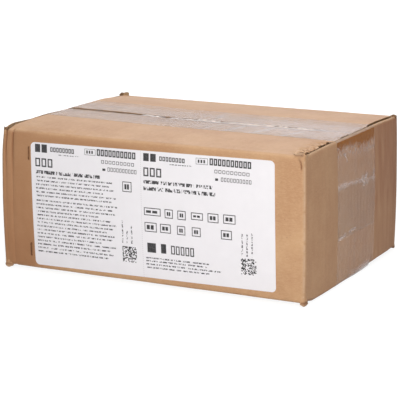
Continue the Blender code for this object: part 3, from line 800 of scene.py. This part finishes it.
def makeEar(corner):
    sideX, sideOfY, way = corner["side"]
    reachX, reachY = corner["reach"]
    faceX, faceY = endX - ears["tuck"], sideY - ears["tuck"]
    innerX, innerY = endX - ears["wall"], sideY - ears["wall"]
    low, tip = topZ - ears["root"], topZ + corner["rise"]
    ear = addBlock("ear", (innerX, innerY, low), (faceX, faceY, tip))
    edit(ear)
    pick(ear, "faces", lambda face: face.normal.x < -0.9)
    extrudeBy(-(reachX - ears["wall"]), 0, 0)
    pick(ear, "faces", lambda face: face.normal.y < -0.9 and face.calc_center_median().x > innerX)
    extrudeBy(0, -(reachY - ears["wall"]), 0)

    def onCorner(edge):
        return all(abs(end.co.x - faceX) < 1e-5 and abs(end.co.y - faceY) < 1e-5 for end in edge.verts)

    pick(ear, "edges", onCorner)
    bpy.ops.mesh.bevel(offset=ears["bend"], segments=ears["bendSteps"], affect="EDGES")
    bpy.ops.mesh.select_all(action="SELECT")
    bpy.ops.mesh.subdivide(number_cuts=ears["cuts"])
    lookOnly()

    def atCorner(place):   # the ear is drawn at the right back top corner, then flipped to its own
        return Vector((place.x * sideX, place.y * sideOfY, middleZ + (place.z - middleZ) * way))

    def crush(place):
        share = ramp(place.z, low + 0.0012, tip)
        if faceX - place.x > faceY - place.y:
            left = readOff(corner["long"], faceX - place.x)
        else:
            left = readOff(corner["end"], faceY - place.y)
        height = place.z if place.z < topZ else topZ + (place.z - topZ) * left
        spread = 1 + (ears["spread"] - 1) * share
        moved = Vector((innerX + (place.x - innerX) * spread, innerY + (place.y - innerY) * spread, height))
        popFrom = corner.get("popFrom", ears["popFrom"])
        pop = corner["pop"] * ramp(place.z, popFrom, popFrom + ears["popOver"])
        moved += Vector((*corner["lean"], 0)) * share ** 2 + Vector((pop, pop, 0))
        seed = Vector((sideX * 7.0, sideOfY * 5.0, way * 3.0)) + place / ears["crumpleSize"]
        wave = noise.noise_vector(seed)
        moved += Vector((wave.x, wave.y, 0)) * ears["crumple"] * share
        moved.z -= share * ears["crumple"] * (1 + wave.z)
        return settle(atCorner(moved))

    def darknessAt(place):
        nearCorner = 1 - ramp(faceX - place.x, 0.0024, 0.0044)
        return corner["rawShadeAndDarkness"] + corner.get("darkCorner", 0) * nearCorner

    fillFields(ear.data, {
        # worn pale, with a painted highlight, towards the ear's tip
        "foldWearAndHighlight": lambda place: ears["wearAndHighlight"] * ramp(place.z, topZ - 0.001, tip),
        "acrossFlutes": lambda place: place.x + place.y,
        "rawShadeAndDarkness": darknessAt,
        "creaseShadeAndDarkness": lambda place: creaseShadeAndDarknessShare(atCorner(place)),
    })
    for face in ear.data.polygons:
        cut = face.normal.z > 0.9 or face.center.x < faceX - reachX + 1e-4
        scuffed = corner["raw"] and face.center.z > topZ - corner.get("rawFrom", ears["rawFrom"])
        face.material_index = 1 if cut or scuffed else 0
    moveVertices(ear, crush)
    dress(ear, kraft, rawBoard)
    edit(ear)
    bpy.ops.mesh.select_all(action="SELECT")
    bpy.ops.mesh.normals_make_consistent(inside=False)
    lookOnly()
    return ear


# The right front top ear's liner has come away and lies crumpled over the corner: its four corners, from
# the near left one round
leaf = {
    "corners": [
        (0.1210, -0.0932, 0.1143), (0.1286, -0.0936, 0.1137),
        (0.1268, -0.0868, 0.1156), (0.1212, -0.0862, 0.1160),
    ],
    "cells": 14, "arch": 0.0005, "crumple": 0.0007, "crumpleSize": 0.0021, "thickness": 0.0005,
}


def makeLeaf():
    lookOnly()
    bpy.ops.mesh.primitive_grid_add(x_subdivisions=leaf["cells"], y_subdivisions=leaf["cells"], size=1)
    sheet = bpy.context.object
    nearLeft, nearRight, farRight, farLeft = (Vector(corner) for corner in leaf["corners"])

    def lay(place):
        along, away = place.x + 0.5, place.y + 0.5
        near = nearLeft * (1 - along) + nearRight * along
        far = farLeft * (1 - along) + farRight * along
        flat = near * (1 - away) + far * away
        wave = noise.noise_vector(flat / leaf["crumpleSize"])
        inside = math.sin(math.pi * min(max(along, 0), 1)) * math.sin(math.pi * min(max(away, 0), 1))
        crumpled = Vector((wave.x, wave.y, 0.5 * wave.z - 0.35)) * leaf["crumple"]
        return flat + crumpled + Vector((0, 0, leaf["arch"] * inside))

    fillFields(sheet.data, {
        # wear and a painted highlight, pale towards the leaf's edges
        "foldWearAndHighlight": lambda place: 0.5 * ramp(abs(place.x) + abs(place.y), 0.3, 0.6),
        "rawShadeAndDarkness": lambda place: 1.0,
    })
    moveVertices(sheet, lay)
    thicken(sheet, leaf["thickness"], -1)
    for face in sheet.data.polygons:
        face.material_index = 1 if abs(face.normal.z) < 0.6 else 0   # its torn rim is dark, a painted shadow line under the leaf
    dress(sheet, kraft, rawBoard)
    return sheet


def makeEars():
    made = [makeEar(corner) for corner in ears["places"]] + [makeLeaf()]
    item = joinAll("cornerEars", made)
    smoothOver(item, 40)
    print("corner ears:", len(item.data.polygons), "faces")
    return item


# Tape

tape = {
    "width": 0.075, "y": 0.003, "film": 0.00005, "gap": 0.00013, "topLeg": 0.0765, "bottomLeg": 0.0731,
    "cellAlong": 0.0015, "cellAcross": 0.00075,
    "ridge": 0.00030, "wrinkle": 0.00006, "wrinkleSize": 0.009,
    "toothPitch": 0.003, "toothDepth": 0.0008, "toothFrom": 0.003, "topSlant": 0.0012, "bottomSlant": 0.005,
    "stepAt": 0.0402, "stepEase": 0.0006, "stepHeight": 0.00012,   # where the top strip laps the bottom one
    "rimWidth": 0.0009, "nearRimAir": 0.20, "farRimAir": 0.12,
    "lipAir": 0.38, "lipMove": (0.0004, 0, -0.0008),
    "endHaze": 0.31, "cleared": 0.95, "coveredCleared": 0.8,
}
halfFlat = endX - radius

# Creases with air under them. On top: x, y of both ends in metres, width, strength.
topCreases = [
    (-0.056, 0.0022, -0.041, 0.0020, 0.0016, 1.0), (-0.040, 0.0028, -0.037, 0.0026, 0.0012, 0.6),
    (-0.029, 0.0020, -0.008, 0.0018, 0.0018, 0.95), (-0.006, 0.0022, 0.014, 0.0020, 0.0023, 1.0),
    (0.014, 0.0020, 0.021, 0.0020, 0.0022, 0.75),
    (0.021, 0.0020, 0.066, 0.0022, 0.0024, 1.0), (0.066, 0.0022, 0.094, 0.0020, 0.0023, 0.9),
    (0.094, 0.0020, 0.106, 0.0020, 0.0018, 0.40), (0.106, 0.0022, 0.121, 0.0024, 0.0014, 0.25),
    (-0.070, 0.0005, -0.056, 0.0008, 0.0008, 0.30), (0.006, -0.0030, 0.084, -0.0030, 0.0050, 0.15),
    (0.016, -0.0200, 0.012, -0.0335, 0.0022, 0.26), (0.041, -0.0080, 0.034, -0.0335, 0.0026, 0.30),
    (0.066, -0.0020, 0.058, -0.0335, 0.0026, 0.30), (0.091, -0.0120, 0.084, -0.0335, 0.0024, 0.26),
    (0.006, 0.0110, 0.003, 0.0360, 0.0024, 0.22), (-0.099, 0.0030, -0.098, 0.0030, 0.0009, 0.5),
]
# On the right end: y, height above the bottom folds of both ends, width, strength.
endCreases = [
    (-0.0325, 0.0752, -0.0190, 0.0750, 0.0020, 0.42), (-0.0190, 0.0750, 0.0000, 0.0738, 0.0013, 0.34),
    (0.0000, 0.0738, 0.0160, 0.0718, 0.0014, 0.36), (0.0150, 0.0735, 0.0240, 0.0695, 0.0024, 0.30),
    (0.0170, 0.0690, 0.0220, 0.0745, 0.0024, 0.34), (0.0240, 0.0710, 0.0390, 0.0700, 0.0012, 0.26),
    (0.0375, 0.0680, 0.0378, 0.0760, 0.0010, 0.32),
    (-0.0320, 0.0350, -0.0190, 0.0362, 0.0011, 0.45), (-0.0130, 0.0363, 0.0010, 0.0372, 0.0008, 0.40),
    (-0.0220, 0.0985, -0.0185, 0.0965, 0.0007, 0.45), (-0.0185, 0.0965, -0.0160, 0.0925, 0.0007, 0.40),
]


def tapePlace(along, way, gap, stepAt):   # a point of half a strip's run in XZ
    distance = abs(along)
    fold = topZ if way > 0 else baseZ
    bend = math.pi / 2 * (radius + gap)
    if distance < halfFlat:
        x, z = distance, fold + way * gap
    elif distance < halfFlat + bend:
        turn = (distance - halfFlat) / (radius + gap)
        x = halfFlat + (radius + gap) * math.sin(turn)
        z = fold - way * (radius - (radius + gap) * math.cos(turn))
    else:
        down = radius + distance - halfFlat - bend
        step = 0
        if stepAt:
            ease = tape["stepEase"]
            step = ramp(down, stepAt - ease, stepAt + ease) * tape["stepHeight"]
        x, z = endX + gap + step, fold - way * down
    return math.copysign(x, along), z


def segmentGap(x, y, crease):   # from a point to a crease, as a share of its width
    startX, startY, stopX, stopY, width = crease[:5]
    runX, runY = stopX - startX, stopY - startY
    share = ((x - startX) * runX + (y - startY) * runY) / max(runX ** 2 + runY ** 2, 1e-9)
    share = min(max(share, 0), 1)
    return math.hypot(x - startX - share * runX, y - startY - share * runY) / width


def trappedAir(first, second, creases):
    most = 0.0
    for crease in creases:
        if abs(second - crease[1]) < 0.04:
            most = max(most, crease[5] * math.exp(-segmentGap(first, second, crease) ** 2))
    ragged = 0.75 + 0.5 * noise.noise(Vector((first, second, 0.7)) / 0.0016)
    return min(most * ragged, 1)


def fleckZone(y, z):   # the strip of the end panel below the band of soaked glue
    edge = 0.1062 - 0.0036 * ramp(y, -0.016, 0.012)
    return 0.34 * ramp(z, edge - 0.010, edge - 0.004) * (1 - ramp(z, edge, edge + 0.003))


def lipShare(x, y):   # the bottom strip bridges the right end's fold towards its back edge
    return ramp(y, -0.022, 0.024) * (1 - ramp(y, 0.0300, 0.0312)) if x > 0 else 0.0


def hazeShare(x, y, onEnd, covered):   # dustiest at the right, clear where no board is under it
    dusty = (1 + 0.21 * ramp(x, 0.010, 0.085)) * (1 - 0.35 * ramp(x, flapEnd, endX))
    dusty *= (1 - 0.5 * ramp(y, 0.020, 0.036)) * (1 - 0.2 * ramp(-y, 0.018, 0.032))
    overSeam = hump(y, board["seamY"], 0.0011) * (1 - ramp(x, 0.086, 0.098))
    overSlot = hump(abs(x), flapEnd + board["slotWidth"] / 2, 0.0017)
    milky = (1 - onEnd) * dusty + tape["endHaze"] * onEnd
    milky *= 1 - tape["cleared"] * max(overSeam, overSlot) * (1 - onEnd)
    return milky * (1 - tape["coveredCleared"] * covered)


def stickTape(name, way, leg, stepAt, creasesOnTop, creasesOnEnd, seed):
    bend = math.pi / 2 * (radius + tape["gap"])
    half = halfFlat + bend + leg - radius
    cellsAlong = round(2 * half / tape["cellAlong"])
    cellsAcross = round(tape["width"] / tape["cellAcross"])
    lookOnly()
    bpy.ops.mesh.primitive_grid_add(x_subdivisions=cellsAlong, y_subdivisions=cellsAcross, size=1)
    strip = bpy.context.object
    strip.name = strip.data.name = name
    mesh = strip.data
    air, flecks, haze, upright = addFields(mesh, "trappedAir", "flecks", "haze", "onEndPanel")
    flat = []   # each vertex's place along and across the strip
    for vertex in mesh.vertices:
        along, across = vertex.co.x * 2 * half, vertex.co.y * tape["width"]
        atEnd = ramp(abs(along), half - tape["toothFrom"], half)
        saw = abs((across / tape["toothPitch"]) % 1 - 0.5) * 2
        slant = across / tape["width"] * (tape["bottomSlant"] if way < 0 else tape["topSlant"])
        along += math.copysign(atEnd * (saw * tape["toothDepth"] + slant), along)
        flat.append((along, across))
        y = tape["y"] + across
        x, z = tapePlace(along, way, tape["gap"], stepAt)
        height = z - board["readFrom"]
        onEnd = ramp(abs(along), halfFlat, halfFlat + bend)
        if abs(along) < halfFlat + bend / 2:
            white = trappedAir(x, y, creasesOnTop)
        else:
            white = trappedAir(math.copysign(1, x) * y, height, creasesOnEnd)
        rim = (1 - onEnd) * hump(tape["width"] / 2 - abs(across), 0, tape["rimWidth"])
        white = max(white, (tape["nearRimAir"] if across < 0 else tape["farRimAir"]) * rim)
        lip = lipShare(x, y) * ramp(abs(along), halfFlat - 0.003, halfFlat + bend) if way < 0 else 0
        lip *= 1 - ramp(height, 0.0035, 0.0060)
        covered = onEnd * ramp(height, 0.0335, 0.0350) if way < 0 else 0   # by the top strip
        air.data[vertex.index].value = max(white, tape["lipAir"] * lip)
        flecks.data[vertex.index].value = fleckZone(y, z) * onEnd if way > 0 else 0
        haze.data[vertex.index].value = hazeShare(x, y, onEnd, covered)
        upright.data[vertex.index].value = onEnd
        crinkle = noise.noise(Vector((along, across, seed)) / tape["wrinkleSize"])
        lift = tape["ridge"] * white + tape["wrinkle"] * max(crinkle, 0)
        side = abs(x) > endX - 0.001
        outward = Vector((math.copysign(1, x) * side, 0, way * (not side)))
        vertex.co = rest(Vector((x, y, z))) + outward * lift + Vector(tape["lipMove"]) * lip
    layer = mesh.uv_layers[0]
    layer.name = "strip"
    for loop in mesh.loops:
        layer.data[loop.index].uv = flat[loop.vertex_index]
    if way < 0:
        edit(strip)
        bpy.ops.mesh.select_all(action="SELECT")
        bpy.ops.mesh.flip_normals()
        lookOnly()
    thicken(strip, tape["film"], 1)
    smoothOver(strip, 45)
    dress(strip, film)
    strip.visible_shadow = False   # clear film: the board under it is lit as the board beside it
    print(name, "stuck:", len(mesh.polygons), "faces")
    return strip


# Label

labelSheet = {
    "width": 0.2094, "height": 0.0990, "paper": 0.00015, "corner": 0.0035, "cornerSteps": 6,
    "x": 0.0020, "rise": 0.05445, "tilt": math.radians(0.8), "gap": 0.00010,
    "cell": 0.0017, "perforationX": -0.0066, "perforationPitch": 0.0016,
}


def onFront(across, up, lift):   # label coordinates to the flat front panel, and out from it
    tilt = labelSheet["tilt"]
    return Vector((
        labelSheet["x"] + across * math.cos(tilt) - up * math.sin(tilt),
        -sideY - lift,
        baseZ + labelSheet["rise"] + across * math.sin(tilt) + up * math.cos(tilt),
    ))


def onSheet(x, height):   # a place read off the front panel, in label coordinates
    tilt = labelSheet["tilt"]
    right, up = x - labelSheet["x"], height + board["readFrom"] - baseZ - labelSheet["rise"]
    return right * math.cos(tilt) + up * math.sin(tilt), up * math.cos(tilt) - right * math.sin(tilt)


def stickLabel():
    lookOnly()
    bpy.ops.mesh.primitive_plane_add(size=1)
    sheet = bpy.context.object
    sheet.name = sheet.data.name = "label"
    moveVertices(sheet, lambda co: Vector((co.x * labelSheet["width"], co.y * labelSheet["height"], 0)))
    edit(sheet)
    bpy.ops.mesh.select_all(action="SELECT")
    bpy.ops.mesh.bevel(offset=labelSheet["corner"], segments=labelSheet["cornerSteps"], affect="VERTICES")
    for axis, side in ((0, "width"), (1, "height")):
        cutAll(axis, evenly(-labelSheet[side] / 2, labelSheet[side] / 2, labelSheet["cell"]))
    lookOnly()
    thicken(sheet, labelSheet["paper"], 1)
    mesh = sheet.data
    layer = mesh.uv_layers[0] if mesh.uv_layers else mesh.uv_layers.new()
    layer.name = "sheet"
    for loop in mesh.loops:
        layer.data[loop.index].uv = mesh.vertices[loop.vertex_index].co[:2]
    moveVertices(sheet, lambda co: rest(onFront(co.x, co.y, labelSheet["gap"] + co.z)))
    smoothOver(sheet, 40)
    dress(sheet, paper)
    print("label stuck:", len(mesh.polygons), "faces")
    return sheet


# Print, as plain bars, blocks and outlines with no lettering. All of it is in mm read off the front:
# left, low, right and high, and for a row the number of its blocks.
printed = {
    "ink": 0.00002, "lift": 0.00003,
    "bold": [
        (-99.4, 94.6, -94.7, 101.0), (-93.5, 94.6, -88.6, 101.0), (-2.8, 95.8, 2.0, 101.8),
        (3.2, 95.8, 8.0, 101.8), (0.0, 25.0, 7.4, 32.5), (11.8, 25.4, 16.2, 32.8),
        (-38.6, 85.0, -36.0, 86.8), (58.2, 86.2, 60.6, 88.0),
    ],
    "hollowRows": [   # with each row's line width and the share of its pitch left between blocks
        (-43.6, 96.2, -9.0, 101.4, 10, 1.0, 0.18), (53.4, 97.4, 88.0, 102.6, 10, 1.0, 0.18),
        (-85.6, 95.8, -63.6, 99.4, 8, 0.70, 0.22), (11.0, 97.0, 33.2, 100.4, 8, 0.70, 0.22),
        (-99.2, 83.2, -82.5, 90.0, 3, 1.05, 0.22), (-2.6, 84.2, 14.0, 91.0, 3, 1.05, 0.22),
        (-39.6, 90.6, -10.0, 93.2, 9, 0.42, 0.28), (-34.0, 84.9, -8.0, 88.0, 10, 0.42, 0.28),
        (57.6, 91.8, 87.0, 94.4, 9, 0.42, 0.28), (63.0, 86.0, 88.4, 89.0, 10, 0.42, 0.28),
        (20.5, 25.6, 41.0, 32.4, 5, 0.85, 0.22),
    ],
    "tags": [(-54.6, 96.0, -44.8, 100.8, 3), (42.0, 97.2, 52.0, 102.0, 3)],
    "titles": [(-99.0, 77.5, -41.0, 80.2), (-2.6, 78.6, 56.0, 81.2), (-2.6, 73.4, 58.4, 76.2)],
    "lines": [(-78.0, 93.4, -57.6), (20.0, 94.6, 39.5)],
    # the small rows at the left: where each ends, then the first and the pitch of both groups
    "rowEnds": [
        -30, -33, -29, -38, -27, -31, -26, -30, -28, -43, -32, -27, -30, -36, -29, -31, -41, -28, -33, -30,
        -35,
    ],
    "rowsLeft": -99, "upperRows": 6, "upperFrom": 74.4, "upperPitch": 3.0, "lowerFrom": 55.6,
    "lowerPitch": 2.96, "rowHigh": 1.15,
    "footRows": (12.4, 15.0, 17.6, 20.0),
    "uprightRows": [   # x, low, high
        (-22.2, 30, 48.6), (-18.2, 30, 40), (-14.2, 30, 45), (79.8, 31, 49.4), (83.8, 31, 49.4),
        (87.8, 31, 49.4),
    ],
    "cells": [(-22.0, 15.0, -9.6, 16), (79.4, 17.0, 91.8, 16)],   # left, low, right, how many across
    "panels": [   # outlined, with two blocks in each
        (-21.0, 70.4, -13.0, 78.4), (-2.4, 54.0, 12.0, 60.0), (15.5, 53.4, 22.5, 60.4),
        (26.5, 53.4, 33.5, 60.4), (38.0, 54.6, 48.0, 60.2), (52.0, 54.0, 61.0, 61.0),
        (65.0, 54.4, 75.0, 61.4), (-2.0, 41.2, 8.4, 48.6), (11.4, 41.6, 20.6, 48.6),
        (26.0, 41.6, 33.0, 48.6), (38.6, 41.8, 46.0, 48.8), (63.0, 42.2, 72.0, 49.2),
    ],
}


def addBars(bars, left, low, shapes):   # rectangles (x, y, wide, high) in mm from a place on the front
    across, up = onSheet(left / 1000, low / 1000)
    for x, y, wide, high in shapes:
        x, y = across + x / 1000, up + y / 1000
        bars.append((x, y, x + wide / 1000, y + high / 1000))


def addBar(bars, left, low, right, high):
    addBars(bars, left, low, [(0, 0, right - left, high - low)])


def addRow(bars, left, low, right, high, count, gap=0.22):   # solid blocks
    pitch = (right - left) / count
    addBars(bars, left, low, [(turn * pitch, 0, pitch * (1 - gap), high - low) for turn in range(count)])


def addOutline(bars, left, low, right, high, line=0.35):
    wide, tall = right - left, high - low
    addBars(bars, left, low, [
        (0, 0, wide, line), (0, tall - line, wide, line),
        (0, line, line, tall - 2 * line), (wide - line, line, line, tall - 2 * line),
    ])


def addBoxes(bars, left, low, right, high, count, line, gap):   # hollow blocks
    pitch = (right - left) / count
    for turn in range(count):
        start = left + turn * pitch
        addOutline(bars, start, low, start + pitch * (1 - gap), high, line)


def addWords(bars, rng, left, low, right, high, shortest=2.2, longest=8.0, space=0.9):
    x, wide, words = 0, right - left, []
    while x < wide - 1:
        word = min(rng.uniform(shortest, longest), wide - x)
        words.append((x, 0, word, high - low))
        x += word + space
    addBars(bars, left, low, words)


def addCells(bars, rng, left, low, right, count):   # a square of seeded random cells
    size = (right - left) / count
    places = [(column * size, row * size) for row in range(count) for column in range(count)]
    addBars(bars, left, low, [(x, y, size, size) for x, y in places if rng.random() < 0.5])


def layBars(name, bars, ink):
    lookOnly()
    bpy.ops.mesh.primitive_plane_add(size=1)
    item = bpy.context.object
    item.name = item.data.name = name
    edit(item)
    bpy.ops.mesh.select_all(action="SELECT")
    bpy.ops.mesh.delete(type="VERT")
    for left, low, right, high in bars:
        middle = ((left + right) / 2, (low + high) / 2, 0)
        bpy.ops.mesh.primitive_plane_add(size=1, location=middle)
        bpy.ops.transform.resize(value=(right - left, high - low, 1), center_override=middle)
    for axis, side in ((0, "width"), (1, "height")):
        cutAll(axis, evenly(-labelSheet[side] / 2, labelSheet[side] / 2, labelSheet["cell"]))
    lookOnly()
    thicken(item, printed["ink"], 1)
    face = labelSheet["gap"] + labelSheet["paper"] + printed["lift"]
    moveVertices(item, lambda co: rest(onFront(co.x, co.y, face + co.z)))
    dress(item, ink)
    print(name, "laid:", len(bars), "bars")
    return item


def printLabel():
    rng = random.Random(21)
    bold, plain, fine = [], [], []
    for corners in printed["bold"]:
        addBar(bold, *corners)
    for row in printed["hollowRows"]:
        addBoxes(bold, *row)
    for left, low, right, high, count in printed["tags"]:
        addOutline(bold, left, low, right, high, 0.28)
        addRow(bold, left + 1.6, low + 1.2, right - 1.4, high - 1.2, count, 0.4)
    for corners in printed["titles"]:
        addWords(plain, rng, *corners, 5, 15, 1.1)
    for left, low, right in printed["lines"]:
        addWords(fine, rng, left, low, right, low + 0.7, 2, 5, 0.6)
    for turn, end in enumerate(printed["rowEnds"]):
        if turn < printed["upperRows"]:
            low = printed["upperFrom"] - printed["upperPitch"] * turn
        else:
            low = printed["lowerFrom"] - printed["lowerPitch"] * (turn - printed["upperRows"])
        addWords(fine, rng, printed["rowsLeft"], low, end, low + printed["rowHigh"])
    for low in printed["footRows"]:
        addWords(fine, rng, -1.4, low, rng.uniform(50, 63), low + 1.1)
    for x, low, high in printed["uprightRows"]:
        while low < high - 1:
            step = rng.uniform(1.6, 4.0)
            addBar(fine, x, low, x + 1.1, min(low + step, high))
            low += step + 0.8
    for cells in printed["cells"]:
        addCells(bold, rng, *cells)
    for left, low, right, high in printed["panels"]:
        addOutline(bold, left, low, right, high, 0.6)
        addRow(bold, left + 1.8, low + 2.0, right - 1.8, high - 2.0, 2)
    return [
        layBars("printBold", bold, inkBold), layBars("printPlain", plain, inkPlain),
        layBars("printFine", fine, inkFine),
    ]


# Wire stitches

stitches = {
    "wire": 0.00050, "crown": 0.0108, "leg": 0.0022, "bend": 0.0007, "sink": 0.00015, "lean": 0.015,
    "places": {   # node, x, height above the bottom fold
        "stitchUpper": ("stitch_upper", -0.1051, 0.0934), "stitchLower": ("stitch_lower", -0.1052, 0.0156),
    },
}


def driveStitch(name, x, rise):
    half = stitches["crown"] / 2 - stitches["wire"]
    bend = stitches["bend"]
    out = -sideY - stitches["wire"] - 0.0003 + stitches["sink"]
    middle = baseZ + rise
    route = [(0, -sideY + stitches["leg"], half), (0, out + bend, half)]
    for turn in range(1, 5):
        angle = math.pi / 2 * turn / 4
        route.append((0, out + bend - bend * math.sin(angle), half - bend + bend * math.cos(angle)))
    for step in range(1, 8):
        share = step / 8
        route.append((0, out + 0.00012 * math.sin(math.pi * share), (half - bend) * (1 - 2 * share)))
    route += [(0, y, -z) for _, y, z in reversed(route[:6])]
    lookOnly()
    bpy.ops.curve.primitive_bezier_curve_add()
    wire = bpy.context.object
    wire.data.splines.clear()
    spline = wire.data.splines.new("POLY")
    spline.points.add(len(route) - 1)
    for point, (_, y, z) in zip(spline.points, route):
        point.co = (*settle(Vector((x + stitches["lean"] * z, y, middle + z))), 1)
    wire.data.dimensions = "3D"
    wire.data.bevel_depth = stitches["wire"]
    wire.data.bevel_resolution = 4
    wire.data.use_fill_caps = True
    bpy.ops.object.convert(target="MESH")
    wire = bpy.context.object
    wire.name = wire.data.name = name
    bpy.ops.object.transform_apply(location=True, rotation=True, scale=True)
    smoothOver(wire, 40)
    dress(wire, stitchWire)
    print(name, "driven:", len(wire.data.polygons), "faces")
    return wire


# Stage, light and camera

studio = {
    "floorSize": 6.0, "floorColour": "E0E0E0", "ambient": 0.145, "ambientColour": "F6F5F6",
    "shadowReach": (0.22, 0.60), "seenWhite": (0.75, 1.20),
    "lamps": [   # place, aimed at, size in metres, watts, colour
        ("key", (0.34, -0.74, 0.37), (0.05, -0.05, 0.06), 0.45, 3.62, "FFFBF6"),
        ("fill", (0.05, -0.85, 0.10), (0.0, 0.0, 0.04), 0.4, 0.60, "FFFDFB"),
        ("top", (0.14, 0.02, 1.15), (0.02, 0.0, 0.1), 0.9, 7.0, "FFFDFD"),
        ("back", (-0.5, 1.15, 0.7), (0.0, 0.0, 0.06), 0.8, 3.5, "F6F6FF"),
    ],
}


def seenDirectly(tree):   # 1 for what the camera sees itself, in a reflection or through the film
    path = addNode(tree, "LightPath").outputs
    either = addNode(tree, "Math", {0: path["Is Camera Ray"], 1: path["Is Glossy Ray"]}, operation="MAXIMUM")
    return addNode(tree, "Math", {0: either, 1: path["Is Transmission Ray"]}, operation="MAXIMUM")


def setStage():
    lookOnly()
    bpy.ops.mesh.primitive_plane_add(size=studio["floorSize"], location=(0, 0, 0))
    floor = bpy.context.object
    floor.name = "floor"
    finish, tree, shader = newFinish("paleFloor")
    plug(tree, shader, {"Base Color": studio["floorColour"], "Roughness": 0.9})
    # the rest of what the camera sees is lit floor, with the shadow on it
    share, strength = studio["seenWhite"]
    place = addNode(tree, "TexCoord").outputs["Object"]
    away = addNode(tree, "VectorMath", {0: place}, operation="LENGTH")
    near, far = studio["shadowReach"]
    spread = addNode(tree, "MapRange", {
        "Value": away, "From Min": near, "From Max": far, "To Min": share, "To Max": 1.0,
    })
    glow = addNode(tree, "Emission", {"Color": (1, 1, 1, 1), "Strength": strength})
    share = addNode(tree, "Math", {0: seenDirectly(tree), 1: spread}, operation="MULTIPLY")
    both = addNode(tree, "MixShader", {0: share, 1: shader, 2: glow})
    plug(tree, tree.nodes["Material Output"], {"Surface": both})
    dress(floor, finish)

    world = bpy.data.worlds.new("whiteStudio")
    world.use_nodes = True
    bpy.context.scene.world = world
    tree = world.node_tree
    backdrop = tree.nodes["Background"]
    plug(tree, backdrop, {"Color": studio["ambientColour"], "Strength": studio["ambient"]})
    white = addNode(tree, "Background", {"Color": (1, 1, 1, 1), "Strength": 1.0})
    both = addNode(tree, "MixShader", {0: seenDirectly(tree), 1: backdrop, 2: white})
    plug(tree, tree.nodes["World Output"], {"Surface": both})

    for name, place, aim, size, watts, colour in studio["lamps"]:
        lamp = bpy.data.lights.new(name, "AREA")
        lamp.shape, lamp.size, lamp.energy = "SQUARE", size, watts
        lamp.color = linear(colour)[:3]
        holder = bpy.data.objects.new(name, lamp)
        bpy.context.scene.collection.objects.link(holder)
        holder.location = place
        holder.rotation_euler = (Vector(aim) - Vector(place)).to_track_quat("-Z", "Y").to_euler()
    print("stage and lamps set")


def setCamera():   # solved from the seven corners that the photograph shows
    view = {
        "place": (0.5825, -1.1278, 0.3412), "right": (0.8882, 0.4594, -0.0081),
        "up": (-0.0961, 0.2031, 0.9744), "back": (0.4493, -0.8647, 0.2245), "lens": 144.41,
    }
    lens = bpy.data.cameras.new("camera")
    lens.lens, lens.sensor_width = view["lens"], 36.0
    lens.clip_start, lens.clip_end = 0.05, 20.0
    camera = bpy.data.objects.new("camera", lens)
    bpy.context.scene.collection.objects.link(camera)
    turn = Matrix((view["right"], view["up"], view["back"])).transposed().to_4x4()
    camera.matrix_world = Matrix.Translation(view["place"]) @ turn
    bpy.context.scene.camera = camera
    print("camera set")


setCamera()
setStage()
kraft = makeKraft()
rawBoard = makeRawBoard()
film = makeFilm()
paper = makePaper()
inkBold = makeInk("resinPrintBold", "1A191C")
inkPlain = makeInk("resinPrintPlain", "2A292C", 1.2)
inkFine = makeInk("resinPrintFine", "4A484F", 0.9)
stitchWire = makeWire()

carton = foldBlank()
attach(carton, "root")
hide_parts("carton")
cornerEars = makeEars()
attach(cornerEars, "root")

bottomTape = stickTape("bottomTape", -1, tape["bottomLeg"], 0, [], [], 3.0)
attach(bottomTape, "root")
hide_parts("bottom_tape")
topTape = stickTape("topTape", 1, tape["topLeg"], tape["stepAt"], topCreases, endCreases, 8.0)
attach(topTape, "root")
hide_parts("top_tape")

label = stickLabel()
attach(label, "root")
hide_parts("label")
for piece in printLabel():
    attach(piece, "root")

for name, (node, x, rise) in stitches["places"].items():
    wire = driveStitch(name, x, rise)
    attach(wire, "root")
    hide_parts(node)

bpy.context.scene.view_settings.view_transform = "Standard"
lookOnly()
bpy.context.view_layer.update()
